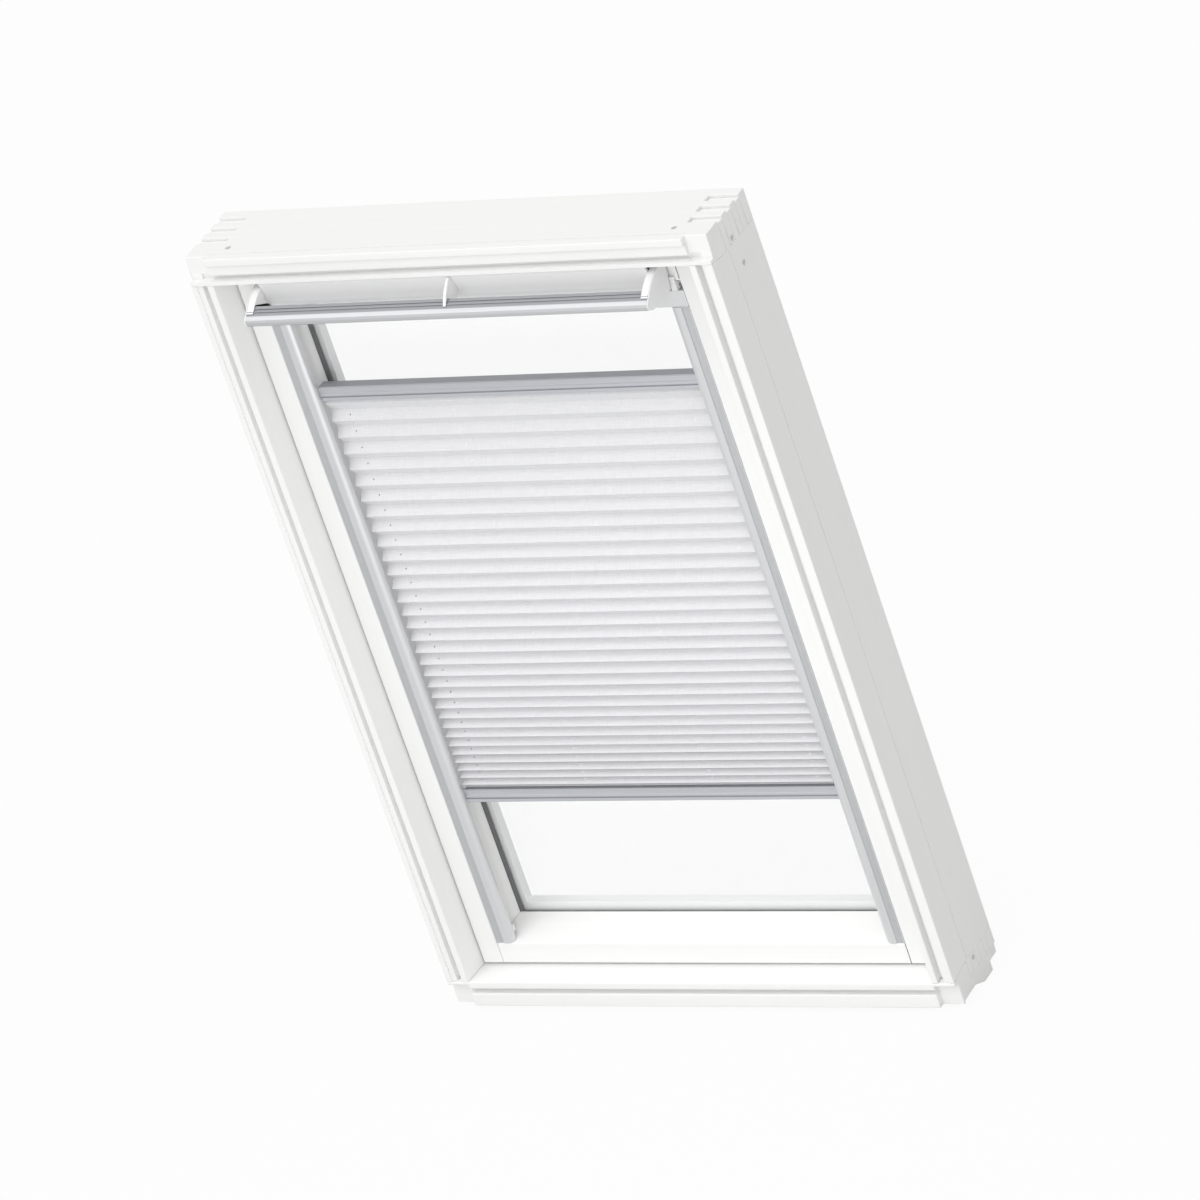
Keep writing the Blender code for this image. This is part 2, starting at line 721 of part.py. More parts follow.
def sash_stile_section(grow=0.0):
    """Section of a sash stile in x and n: room face, splay, glass shelf and rebate wall."""
    face = SASH_X + SASH_STILE_FACE + grow
    sight = SIGHT_X + grow
    wall = SASH_X + REBATE_WALL + grow
    return [
        (SASH_X, REVEAL_DEPTH), (face, REVEAL_DEPTH), (sight, SHELF_N),
        (sight, SHELF_N + grow), (wall, SHELF_N + grow), (wall, SASH_BACK_N), (SASH_X, SASH_BACK_N),
    ]


def clean(points):
    """Drops points that repeat the one before."""
    kept = []
    for point in points:
        if not kept or math.dist(point, kept[-1]) > 1e-6:
            kept.append(point)
    return kept


def sash_rail_section():
    """Section of a sash rail in s and n, like the stile's."""
    face = SASH_S + SASH_RAIL_FACE
    wall = SASH_S + REBATE_WALL
    return [
        (SASH_S, REVEAL_DEPTH), (face, REVEAL_DEPTH), (SIGHT_S, SHELF_N),
        (wall, SHELF_N), (wall, SASH_BACK_N), (SASH_S, SASH_BACK_N),
    ]


def seal_groove():
    """The groove round the outside of the sash that the seal sits in."""
    root = SEAL_ROOT + SEAT_GAP
    low = REVEAL_DEPTH + SEAL_N - SEAT_GAP
    high = REVEAL_DEPTH + SEAL_N + SEAL_WIDTH + SEAT_GAP
    return ring_solid(SASH_X - PAST, SASH_S - PAST, SASH_X + root, SASH_S + root, (low, high))


def build_sash():
    """The pivoting sash: timber, glazing, seals, covers and hinge arms."""
    for side, word in ((-1, "left"), (1, "right")):
        outline = [(world_x(side, x), world_y(n)) for x, n in clean(sash_stile_section())]
        run = prism(outline, "Z", world_z(SASH_BOTTOM_S), world_z(SASH_S))
        stile = piece(f"sash_{word}_stile", run, "sash_body", "white_paint")
        cut(stile, hinge_space(side, SASH_X - PAST, SASH_X + HINGE_THICKNESS + SEAT_GAP, SEAT_GAP))
        cut(stile, seal_groove())
        arm = hinge_space(side, SASH_X, SASH_X + HINGE_THICKNESS, 0.0)
        arm_piece = piece(f"hinge_arm_{word}", arm, "sash_body", "steel")
        ends = (STILE_BACK - HINGE_THICKNESS + SEAT_GAP, SASH_X + SEAT_GAP * 3)
        along = [(world_x(side, end), PIN_RADIUS) for end in ends]
        pin = turned(along, "X", (world_y(PIVOT_N), world_z(PIVOT_S)), 32)
        join(arm_piece, pin)
    rails = {}
    for end, word in ((1, "top"), (-1, "bottom")):
        points = []
        for s, n in sash_rail_section():
            points.append((world_y(n), world_z(s if end > 0 else FRAME_HEIGHT - s)))
        start = HALF_WIDTH - SASH_X - SASH_STILE_FACE - SEAT_GAP
        rail = piece(f"sash_{word}_rail", prism(points, "X", -start, start), "sash_body", "white_paint")
        copes = []
        for side in (-1, 1):
            cope = sash_stile_section(SEAT_GAP)
            cope = [(x, n - PAST if n == REVEAL_DEPTH else n) for x, n in cope]
            cope = [(x, n + PAST if n == SASH_BACK_N else n) for x, n in cope]
            outline = [(world_x(side, x), world_y(n)) for x, n in clean(cope)]
            copes.append(prism(outline, "Z", world_z(FRAME_HEIGHT), world_z(0)))
        cut(rail, *copes)
        cut(rail, seal_groove())
        rails[word] = rail
    seal = ring_solid(
        SASH_X - SEAL_PROUD, SASH_S - SEAL_PROUD, SASH_X + SEAL_ROOT, SASH_S + SEAL_ROOT,
        (REVEAL_DEPTH + SEAL_N, REVEAL_DEPTH + SEAL_N + SEAL_WIDTH),
    )
    piece("sash_seal", seal, "sash_body", "rubber")
    build_glazing()
    build_covers()
    build_latch(rails["top"])


def build_glazing():
    """Two panes with their spacer, on a gasket against the sash's shelf."""
    edge_x = SASH_X + REBATE_WALL + PANE_EDGE_GAP
    edge_s = SASH_S + REBATE_WALL + PANE_EDGE_GAP
    width = (world_x(-1, edge_x), world_x(1, edge_x))
    height = (world_z(FRAME_HEIGHT - edge_s), world_z(edge_s))
    for name, n in (("inner_pane", INNER_PANE_N), ("outer_pane", OUTER_PANE_N)):
        pane = block(width, (world_y(n), world_y(n + PANE_THICKNESS)), height)
        piece(name, pane, "sash_body", "glass")
    gasket = ring_solid(
        edge_x, edge_s, SIGHT_X + GASKET_LIP, SIGHT_S + GASKET_LIP,
        (GASKET_N, GASKET_N + GASKET_THICKNESS),
    )
    piece("glazing_gasket", gasket, "sash_body", "rubber")
    spacer = ring_solid(
        edge_x, edge_s, SIGHT_X + SPACER_SIGHT, SIGHT_S + SPACER_SIGHT,
        (SPACER_N, SPACER_N + SPACER_THICKNESS),
    )
    piece("pane_spacer", spacer, "sash_body", "spacer_grey")


def build_covers():
    """Outer cover strips that hold the glass in the sash."""
    depth = (world_y(COVER_N), world_y(COVER_N + COVER_THICKNESS))
    inner = SASH_X + COVER_WIDTH
    for side, word in ((-1, "left"), (1, "right")):
        strip = block(
            (world_x(side, SASH_X), world_x(side, inner)), depth,
            (world_z(SASH_BOTTOM_S), world_z(SASH_S)),
        )
        piece(f"outer_cover_{word}", strip, "sash_body", "grey_aluminium")
    run = (world_x(-1, inner + SEAT_GAP), world_x(1, inner + SEAT_GAP))
    for word, s in (("top", SASH_S), ("bottom", SASH_BOTTOM_S - COVER_WIDTH)):
        strip = block(run, depth, (world_z(s + COVER_WIDTH), world_z(s)))
        piece(f"outer_cover_{word}", strip, "sash_body", "grey_aluminium")


def build_latch(sash_top):
    """The latch in the sash's top rail, its case, and the filter strip in front of it."""
    half_case = LATCH_CASE_WIDTH / 2
    case_s = (LATCH_CASE_S, LATCH_CASE_S + LATCH_CASE_HEIGHT)
    case_n = (REVEAL_DEPTH, REVEAL_DEPTH + LATCH_CASE_DEPTH)
    tip_s = SASH_S - LATCH_ENGAGEMENT - SASH_GAP_END
    half_tongue = LATCH_WIDTH / 2
    play = SEAT_GAP
    pocket = block(
        (-half_case - play, half_case + play), (world_y(case_n[0] - PAST), world_y(case_n[1] + play)),
        (world_z(case_s[0] - play), world_z(case_s[1] + play)),
    )
    guide = block(
        (-half_tongue - play, half_tongue + play),
        (world_y(LATCH_N - play), world_y(LATCH_N + LATCH_THICKNESS + play)),
        (world_z(SASH_S - PAST), world_z(case_s[0] + PAST)),
    )
    strip = block(
        (-FILTER_HALF_LENGTH - play, FILTER_HALF_LENGTH + play),
        (world_y(REVEAL_DEPTH - PAST), world_y(REVEAL_DEPTH + FILTER_DEPTH + play)),
        (world_z(FILTER_S - play), world_z(FILTER_S + FILTER_HEIGHT + play)),
    )
    cut(sash_top, pocket)
    cut(sash_top, guide)
    cut(sash_top, strip)
    case = piece(
        "latch_case",
        block((-half_case, half_case), (world_y(case_n[0]), world_y(case_n[1])),
              (world_z(case_s[0]), world_z(case_s[1]))),
        "sash_body", "steel",
    )
    well_end = tip_s + LATCH_LENGTH + LATCH_TRAVEL + 2 * play
    cut(case, block(
        (-half_tongue - play, half_tongue + play),
        (world_y(LATCH_N - play), world_y(LATCH_N + LATCH_THICKNESS + play)),
        (world_z(case_s[0] - PAST), world_z(well_end)),
    ))
    tongue = block(
        (-half_tongue, half_tongue), (world_y(LATCH_N), world_y(LATCH_N + LATCH_THICKNESS)),
        (world_z(tip_s), world_z(tip_s + LATCH_LENGTH)),
    )
    piece("latch_tongue", tongue, "latch_body", "steel")
    filter_strip = block(
        (-FILTER_HALF_LENGTH, FILTER_HALF_LENGTH),
        (world_y(REVEAL_DEPTH), world_y(REVEAL_DEPTH + FILTER_DEPTH)),
        (world_z(FILTER_S), world_z(FILTER_S + FILTER_HEIGHT)),
    )
    piece("vent_filter", filter_strip, "sash_body", "foam")


def flap_midline():
    """Middle of the flap's curved plate in n and s, from its top edge to its hinge barrel."""
    top = (FLAP_TOP_N, FLAP_TOP_S)
    knee = (FLAP_KNEE_N, FLAP_KNEE_S)
    points = []
    steps = FLAP_PLATE_STEPS
    for i in range(steps + 1):
        t = i / steps
        bow = 4 * t * (1 - t) * FLAP_SAG
        points.append((top[0] + (knee[0] - top[0]) * t + bow, top[1] + (knee[1] - top[1]) * t))
    heel = (FLAP_AXIS_N, FLAP_AXIS_S)
    for i in range(1, steps + 1):
        t = i / steps
        dip = 4 * t * (1 - t) * FLAP_HEEL_DIP
        points.append((knee[0] + (heel[0] - knee[0]) * t, knee[1] + (heel[1] - knee[1]) * t + dip))
    return points


def flap_edge(offset):
    """The midline moved sideways by an offset: minus is the room side."""
    points = flap_midline()
    moved = []
    for i, (n, s) in enumerate(points):
        before = points[max(i - 1, 0)]
        after = points[min(i + 1, len(points) - 1)]
        length = math.dist(before, after)
        along = ((after[0] - before[0]) / length, (after[1] - before[1]) / length)
        moved.append((n + along[1] * offset, s - along[0] * offset))
    return moved


def bar_section(inset=0.0):
    """Section of the pull bar in n and s, or of its bore when inset."""
    back = -BAR_BACK - inset
    front = -BAR_REACH + inset
    top = BAR_TOP_S + inset
    bottom = BAR_BOTTOM_S - inset
    reach = back - front
    height = bottom - top
    corners = [(back - reach * across, top + height * down) for across, down in BAR_CORNER_SHARES]
    return [(back, top)] + corners + [(back, bottom)]


def fin_foot():
    """Where a fin's tip and its heel rest on the bar's sloping top."""
    heel, corner = bar_section()[:2]
    tip = [a + (b - a) * FIN_TIP_SHARE for a, b in zip(heel, corner)]
    slope = (corner[1] - heel[1]) / (heel[0] - corner[0])
    return (tip[0], tip[1] - SPLAY_GAP), (heel[0] + SEAT_GAP, heel[1] - SPLAY_GAP - slope * SEAT_GAP)


def fin_curve(high):
    """The bulging front edge of a fin, from its tip on the bar up to a point by the flap."""
    foot = fin_foot()[0]
    low = (foot[0], foot[1] - FIN_TIP_HEIGHT)
    length = math.dist(low, high)
    along = ((high[0] - low[0]) / length, (high[1] - low[1]) / length)
    points = []
    for i in range(FIN_STEPS + 1):
        t = i / FIN_STEPS
        bulge = 4 * t * (1 - t) * FIN_BULGE
        points.append((
            low[0] + (high[0] - low[0]) * t + along[1] * bulge,
            low[1] + (high[1] - low[1]) * t - along[0] * bulge,
        ))
    return points


def plate_section():
    """Outline of the plate that closes one end of the bar and faces the fin beside it."""
    middle_s = (BAR_BOTTOM_S + CHEEK_BOTTOM_S) / 2
    back = [
        (CHEEK_BACK_N, CHEEK_TOP_S), (CHEEK_BACK_N, PLATE_SHOULDER_S - PLATE_CHAMFER),
        (PLATE_BACK_N, PLATE_SHOULDER_S), (PLATE_BACK_N, PLATE_HEEL_S), (PLATE_HEEL_N, PLATE_FOOT_S),
        (0.0, CHEEK_BOTTOM_S), (-BAR_BACK, middle_s),
    ]
    return fin_curve(end_fin_top()) + back + list(reversed(bar_section()[1:-1]))


def end_fin_top():
    """Where the front edge of an end fin meets the flap."""
    return (FLAP_TOP_N + FIN_TOP_BACK, FLAP_TOP_S + FIN_TOP_DROP)


def flap_prism(section, low, high):
    """A section in n and s run along X."""
    return prism([(world_y(n), world_z(s)) for n, s in section], "X", low, high)


def flap_pin_hole(grow):
    """Outline of the flap's hinge pin."""
    return circle((world_y(FLAP_AXIS_N), world_z(FLAP_AXIS_S)), FLAP_PIN_RADIUS + grow, 16)


def build_flap():
    """The vent flap with its fins, pull bar and hinge pins."""
    half = FLAP_THICKNESS / 2
    plate = flap_edge(-half) + list(reversed(flap_edge(half)))
    run = CHEEK_INNER - SEAT_GAP
    flap = piece("vent_flap", flap_prism(plate, -run, run), "flap_body", "white_plastic", True)
    barrel = circle((world_y(FLAP_AXIS_N), world_z(FLAP_AXIS_S)), FLAP_BARREL_RADIUS, 20)
    join(flap, prism(barrel, "X", -run, run))

    bar = piece(
        "pull_bar", flap_prism(bar_section(), -BAR_HALF_LENGTH, BAR_HALF_LENGTH),
        "flap_body", "aluminium", True,
    )
    bore = BAR_HALF_LENGTH + PAST
    cut(bar, flap_prism(bar_section(BAR_WALL), -bore, bore))

    bar_face = -BAR_BACK + SEAT_GAP
    tip, heel = fin_foot()
    cheek = [heel, tip] + fin_curve(end_fin_top()) + [
        (CHEEK_BACK_N, CHEEK_TOP_S), (CHEEK_BACK_N, FLAP_AXIS_S - FLAP_BARREL_RADIUS),
        (FLAP_AXIS_N, FLAP_AXIS_S - FLAP_BARREL_RADIUS),
    ]
    for i in range(1, BARREL_STEPS + 1):
        angle = math.pi * (i / BARREL_STEPS - 0.5)
        cheek.append((
            FLAP_AXIS_N + FLAP_BARREL_RADIUS * math.cos(angle),
            FLAP_AXIS_S + FLAP_BARREL_RADIUS * math.sin(angle),
        ))
    lifted_s = FLAP_AXIS_S + FLAP_BARREL_RADIUS - CHEEK_LIFT
    cheek += [
        (FLAP_AXIS_N - 2 * FLAP_BARREL_RADIUS, lifted_s), (0.0, CHEEK_BOTTOM_S),
        (bar_face, (BAR_BOTTOM_S + CHEEK_BOTTOM_S) / 2),
    ]
    for side, word in ((-1, "left"), (1, "right")):
        low, high = sorted((side * CHEEK_INNER, side * CHEEK_OUTER))
        fin = piece(f"bar_fin_{word}", flap_prism(cheek, low, high), "flap_body", "white_plastic")
        cut(fin, prism(flap_pin_hole(SEAT_GAP), "X", low - PAST, high + PAST))
        build_pin(side, word)
        build_plug(side, word)

    curve = fin_curve((FLAP_TOP_N - MIDDLE_FIN_TOP_REACH, FLAP_TOP_S + MIDDLE_FIN_TOP_DROP))
    front = [(n, s) for n, s in flap_edge(-half - SEAT_GAP) if curve[-1][1] < s <= FLAP_KNEE_S]
    middle = [heel, tip] + curve + front + [(bar_face, BAR_BOTTOM_S)]
    half_fin = MIDDLE_FIN_THICKNESS / 2
    piece("bar_fin_middle", flap_prism(middle, -half_fin, half_fin), "flap_body", "white_plastic")


def build_pin(side, word):
    """A hinge pin from the bracket on the sash into the end fin."""
    outer = CHEEK_OUTER + BRACKET_WIDTH
    inner = outer - FLAP_PIN_LENGTH
    ends = sorted((side * inner, side * outer))
    pin = turned(
        [(ends[0], FLAP_PIN_RADIUS), (ends[1], FLAP_PIN_RADIUS)], "X",
        (world_y(FLAP_AXIS_N), world_z(FLAP_AXIS_S)), 16,
    )
    piece(f"flap_pin_{word}", pin, "flap_body", "steel", True)


def build_plug(side, word):
    """The plug in one end of the pull bar, with its end plate."""
    face = side * (BAR_HALF_LENGTH + SEAT_GAP)
    flange = sorted((face, face + side * BAR_PLUG_FLANGE))
    plug = piece(f"bar_plug_{word}", flap_prism(plate_section(), *flange), "flap_body", "white_plastic")
    stem = sorted((face + side * BAR_PLUG_FLANGE / 2, face - side * BAR_PLUG_LENGTH))
    join(plug, flap_prism(bar_section(BAR_WALL + TURNING_GAP), *stem))


def build_brackets():
    """Brackets on the sash's top rail that carry the flap's pins."""
    for side, word in ((-1, "left"), (1, "right")):
        inner = CHEEK_OUTER + SEAT_GAP
        ends = sorted((side * inner, side * (inner + BRACKET_WIDTH)))
        seat_n = REVEAL_DEPTH - SEAT_GAP
        room_n = seat_n - BRACKET_REACH
        heel_n = FLAP_AXIS_N + FLAP_BARREL_RADIUS
        low_s = FLAP_AXIS_S + FLAP_BARREL_RADIUS
        high_s = low_s - BRACKET_HEIGHT
        section = [
            (room_n, high_s), (seat_n, high_s), (seat_n, SASH_S + SASH_RAIL_FACE + 4 * SEAT_GAP),
            (heel_n, FLAP_AXIS_S - FLAP_BARREL_RADIUS + BRACKET_CHAMFER), (heel_n, low_s), (room_n, low_s),
        ]
        bracket = piece(f"flap_bracket_{word}", flap_prism(section, *ends), "sash_body", "white_plastic")
        cut(bracket, prism(flap_pin_hole(SEAT_GAP), "X", ends[0] - PAST, ends[1] + PAST))


def splay_x(n):
    """x of the sash stile's splayed inner face at depth n."""
    return SASH_X + SASH_STILE_FACE + SASH_SPLAY_SIDE * (n - REVEAL_DEPTH) / SASH_SHELF


def channel_section():
    """Section of a blind channel in x and n: open towards the middle between a front and a back lip."""
    front = REVEAL_DEPTH
    back = CHANNEL_BACK_N
    wall = CHANNEL_WALL
    lip_x = CHANNEL_INNER_X - wall
    inside = SPLAY_GAP + wall
    hold_x = splay_x(back) + CHANNEL_BACK_LIP
    return [
        (splay_x(front) + SPLAY_GAP, front), (CHANNEL_INNER_X, front),
        (CHANNEL_INNER_X, front + CHANNEL_LIP), (lip_x, front + CHANNEL_LIP), (lip_x, front + wall),
        (splay_x(front + wall) + inside, front + wall), (splay_x(back - wall) + inside, back - wall),
        (hold_x, back - wall), (hold_x, back), (splay_x(back) + SPLAY_GAP, back),
    ]


def bottom_cope(side_low, side_high):
    """The sash's bottom rail, grown a little, as a cutter for what stands on it."""
    face_s = SASH_BOTTOM_S - SASH_RAIL_FACE - SPLAY_GAP
    outline = [
        (REVEAL_DEPTH - PAST, SASH_BOTTOM_S), (REVEAL_DEPTH - PAST, face_s), (REVEAL_DEPTH, face_s),
        (SHELF_N, face_s - SASH_SPLAY_END), (SASH_BACK_N, SASH_BOTTOM_S),
    ]
    return flap_prism(outline, side_low, side_high)


def build_channels():
    """The two side channels of the blind, with their top housings and bottom stops."""
    for side, word in ((-1, "left"), (1, "right")):
        outline = [(world_x(side, x), world_y(n)) for x, n in channel_section()]
        low = world_z(FRAME_HEIGHT - SASH_S - SASH_RAIL_FACE - SEAT_GAP)
        high = world_z(HOUSING_BOTTOM_S + SEAT_GAP)
        channel = piece(f"blind_channel_{word}", prism(outline, "Z", low, high), "sash_body", "aluminium")
        reach = sorted((world_x(side, SASH_X), world_x(side, CHANNEL_INNER_X + PAST)))
        cut(channel, bottom_cope(*reach))

        back = CHANNEL_BACK_N
        housing_x = CHANNEL_X + HOUSING_WIDTH
        housing = [
            (splay_x(REVEAL_DEPTH) + SPLAY_GAP, REVEAL_DEPTH), (housing_x, REVEAL_DEPTH),
            (housing_x, back), (splay_x(back) + SPLAY_GAP, back),
        ]
        outline = [(world_x(side, x), world_y(n)) for x, n in housing]
        block_run = (world_z(HOUSING_BOTTOM_S), world_z(CHANNEL_TOP_S))
        piece(f"channel_housing_{word}", prism(outline, "Z", *block_run), "sash_body", "aluminium")

        stop_s = FRAME_HEIGHT - STOP_FROM_BOTTOM
        inner_wall = splay_x(back - CHANNEL_WALL) + SPLAY_GAP + CHANNEL_WALL + SEAT_GAP
        lip = CHANNEL_INNER_X - CHANNEL_WALL - SEAT_GAP
        stop = block(
            (world_x(side, inner_wall), world_x(side, lip)),
            (world_y(REVEAL_DEPTH + CHANNEL_WALL + SEAT_GAP), world_y(back - CHANNEL_WALL - SEAT_GAP)),
            (world_z(stop_s), world_z(stop_s - STOP_HEIGHT)),
        )
        piece(f"channel_stop_{word}", stop, "sash_body", "white_plastic")


def rail_section(height, depth):
    """Section of a blind rail in depth behind its front and drop below its top."""
    groove_end = height - RAIL_LIP_HEIGHT
    groove_start = groove_end - RAIL_GROOVE_HEIGHT
    return [
        (RAIL_GROOVE, 0.0), (0.0, RAIL_GROOVE), (0.0, groove_start), (RAIL_GROOVE, groove_start),
        (RAIL_GROOVE, groove_end), (0.0, groove_end), (0.0, height), (depth, height), (depth, 0.0),
    ]


def build_rail(name, body, start_s, height, depth):
    """A hollow blind rail with its two sliders: a block in the channel and a stem in the rail's end."""
    section = [(RAIL_FRONT_N + n, start_s + s) for n, s in rail_section(height, depth)]
    half = HALF_WIDTH - RAIL_END_X
    rail = piece(f"blind_{name}", flap_prism(section, -half, half), body, "aluminium")
    inset = RAIL_WALL
    front = RAIL_FRONT_N + RAIL_GROOVE + inset
    back = RAIL_FRONT_N + depth - inset
    bore = [(front, start_s + inset), (back, start_s + inset),
            (back, start_s + height - inset), (front, start_s + height - inset)]
    cut(rail, flap_prism(bore, -half - PAST, half + PAST))
    play = SLIDER_PLAY
    channel_back = CHANNEL_BACK_N - CHANNEL_WALL - play
    lip_x = CHANNEL_INNER_X - CHANNEL_WALL - play
    stem_n = (
        max(REVEAL_DEPTH + CHANNEL_LIP + play, front + SEAT_GAP), min(channel_back, back - SEAT_GAP),
    )
    for side, word in ((-1, "left"), (1, "right")):
        body_block = block(
            (world_x(side, lip_x - SLIDER_BODY_WIDTH), world_x(side, lip_x)),
            (world_y(REVEAL_DEPTH + CHANNEL_WALL + play), world_y(channel_back)),
            (world_z(start_s + height), world_z(start_s)),
        )
        slider = piece(f"{name}_slider_{word}", body_block, body, "white_plastic")
        stem = block(
            (world_x(side, lip_x - SLIDER_BODY_WIDTH / 2), world_x(side, RAIL_END_X + SLIDER_PLUG_LENGTH)),
            (world_y(stem_n[0]), world_y(stem_n[1])),
            (world_z(start_s + height - inset - SEAT_GAP), world_z(start_s + inset + SEAT_GAP)),
        )
        join(slider, stem)


def pleat_pitches(drop):
    """Height of each pleat, tighter towards the bottom, all of them filling a drop."""
    pitches = []
    for i in range(PLEAT_COUNT):
        share = i / max(PLEAT_COUNT - 1, 1)
        pitches.append(PLEAT_FIRST - (PLEAT_FIRST - PLEAT_LAST) * share ** PLEAT_POWER)
    return [pitch * drop / sum(pitches) for pitch in pitches]


def build_cloth():
    """The pleated cloth: one folded sheet between the two rails."""
    start = TOP_RAIL_S + TOP_RAIL_HEIGHT + SEAT_GAP
    folds = [(CLOTH_MIDDLE_N, start)]
    s = start
    for step in pleat_pitches(BOTTOM_RAIL_S - SEAT_GAP - start):
        depth = math.sqrt(max(PLEAT_SLOPE ** 2 - (step / 2) ** 2, 0.0)) / 2
        folds.append((CLOTH_MIDDLE_N - depth, s + step * 0.25))
        folds.append((CLOTH_MIDDLE_N + depth, s + step * 0.75))
        s += step
    folds.append((CLOTH_MIDDLE_N, s))
    half = CLOTH_THICKNESS / 2
    front = []
    back = []
    for i, (n, drop) in enumerate(folds):
        if i in (0, len(folds) - 1):
            front.append((n - half, drop))
            back.append((n + half, drop))
            continue
        before = folds[i - 1]
        after = folds[i + 1]
        first = math.atan2(drop - before[1], n - before[0])
        second = math.atan2(after[1] - drop, after[0] - n)
        turn = (second - first) / 2
        reach = half / max(math.cos(turn), FOLD_MITRE_LIMIT)
        middle = (first + second) / 2
        front.append((n - reach * math.sin(middle), drop + reach * math.cos(middle)))
        back.append((n + reach * math.sin(middle), drop - reach * math.cos(middle)))
    edge = HALF_WIDTH - CLOTH_EDGE_X
    outline = front + list(reversed(back))
    piece("pleated_cloth", flap_prism(outline, -edge, edge), "top_rail_body", "cloth")


build_frame()
build_sash()
build_brackets()
build_flap()
build_channels()
build_rail("top_rail", "top_rail_body", TOP_RAIL_S, TOP_RAIL_HEIGHT, TOP_RAIL_DEPTH)
build_rail("bottom_rail", "bottom_rail_body", BOTTOM_RAIL_S, BOTTOM_RAIL_HEIGHT, BOTTOM_RAIL_DEPTH)
build_cloth()
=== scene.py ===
import json
import math

import bmesh
import bpy
from mathutils import Matrix, Vector

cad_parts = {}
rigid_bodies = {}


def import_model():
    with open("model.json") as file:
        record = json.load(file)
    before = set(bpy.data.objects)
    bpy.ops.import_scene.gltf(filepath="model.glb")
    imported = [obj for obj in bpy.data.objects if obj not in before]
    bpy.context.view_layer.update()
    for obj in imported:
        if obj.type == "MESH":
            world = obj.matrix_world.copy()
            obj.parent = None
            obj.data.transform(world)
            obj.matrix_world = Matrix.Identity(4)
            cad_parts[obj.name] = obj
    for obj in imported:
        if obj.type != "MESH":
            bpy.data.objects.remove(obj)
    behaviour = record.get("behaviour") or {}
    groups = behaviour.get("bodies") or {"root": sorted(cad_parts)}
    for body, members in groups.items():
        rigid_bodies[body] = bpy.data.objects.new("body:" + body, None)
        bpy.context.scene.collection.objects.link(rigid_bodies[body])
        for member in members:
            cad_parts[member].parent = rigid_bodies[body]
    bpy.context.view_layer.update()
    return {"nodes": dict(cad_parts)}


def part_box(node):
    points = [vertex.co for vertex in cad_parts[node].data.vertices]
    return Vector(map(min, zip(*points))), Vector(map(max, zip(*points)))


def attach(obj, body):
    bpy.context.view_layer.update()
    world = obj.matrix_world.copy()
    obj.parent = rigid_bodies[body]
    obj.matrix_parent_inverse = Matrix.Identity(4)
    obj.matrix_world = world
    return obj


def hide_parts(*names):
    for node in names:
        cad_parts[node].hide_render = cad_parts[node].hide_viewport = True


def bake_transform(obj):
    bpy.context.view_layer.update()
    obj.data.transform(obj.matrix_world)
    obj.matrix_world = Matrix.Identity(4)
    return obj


for item in list(bpy.data.objects):
    bpy.data.objects.remove(item, do_unlink=True)
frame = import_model()
print("packed window loaded:", len(frame["nodes"]), "nodes")

# Places are read as x inwards from the outer side face, n outwards from the frame's room face
# and s downwards from the frame's top face, all in metres
window = {"halfWidth": 0.390, "height": 1.180, "topZ": 1.188, "roomY": -0.086}


def yOf(n):
    return n + window["roomY"]


def zOf(s):
    return window["topZ"] - s


def xOf(side, x):
    return side * (window["halfWidth"] - x)


# finishes: each is drawn to real millimetres
def toLinear(text):
    parts = [int(text[i:i + 2], 16) / 255 for i in (1, 3, 5)]
    curve = [v / 12.92 if v <= 0.04045 else ((v + 0.055) / 1.055) ** 2.4 for v in parts]
    return (*curve, 1.0)


def addNode(tree, kind, settings=None, links=None):
    node = tree.nodes.new(kind)
    for name, value in (settings or {}).items():
        if isinstance(name, str) and hasattr(node, name):
            setattr(node, name, value)
        else:
            node.inputs[name].default_value = value
    for name, socket in (links or {}).items():
        tree.links.new(socket, node.inputs[name])
    return node


def newMaterial(name, settings):
    material = bpy.data.materials.new(name)
    material.use_nodes = True
    tree = material.node_tree
    shader = tree.nodes["Principled BSDF"]
    for key, value in settings.items():
        shader.inputs[key].default_value = value
    return material, tree, shader


def patternSpace(tree, sizeMm):
    # object coordinates in which the given size in millimetres is one unit
    place = addNode(tree, "ShaderNodeTexCoord")
    scale = [1000.0 / size for size in sizeMm]
    mapping = addNode(tree, "ShaderNodeMapping", {"Scale": scale}, {"Vector": place.outputs["Object"]})
    return mapping.outputs["Vector"]


def mixedTone(tree, tones, share):
    # sockets 6 and 7 of a colour mix are its two colours
    return addNode(tree, "ShaderNodeMix", {"data_type": "RGBA", 6: toLinear(tones[0]), 7: toLinear(tones[1])},
                   {0: share}).outputs[2]


def surfaceDetail(tree, shader, sizeMm, tones, roughness, relief, detail=3.0):
    # one noise drawn to real millimetres drives the tone, the gloss and a slight relief
    noise = addNode(tree, "ShaderNodeTexNoise", {"Scale": 1.0, "Detail": detail, "Roughness": 0.6},
                    {"Vector": patternSpace(tree, sizeMm)})
    gloss = addNode(tree, "ShaderNodeMapRange", {"To Min": roughness[0], "To Max": roughness[1]},
                    {"Value": noise.outputs["Fac"]})
    bump = addNode(tree, "ShaderNodeBump", {"Strength": relief[0], "Distance": relief[1]},
                   {"Height": noise.outputs["Fac"]})
    tree.links.new(mixedTone(tree, tones, noise.outputs["Fac"]), shader.inputs["Base Color"])
    tree.links.new(gloss.outputs["Result"], shader.inputs["Roughness"])
    tree.links.new(bump.outputs["Normal"], shader.inputs["Normal"])


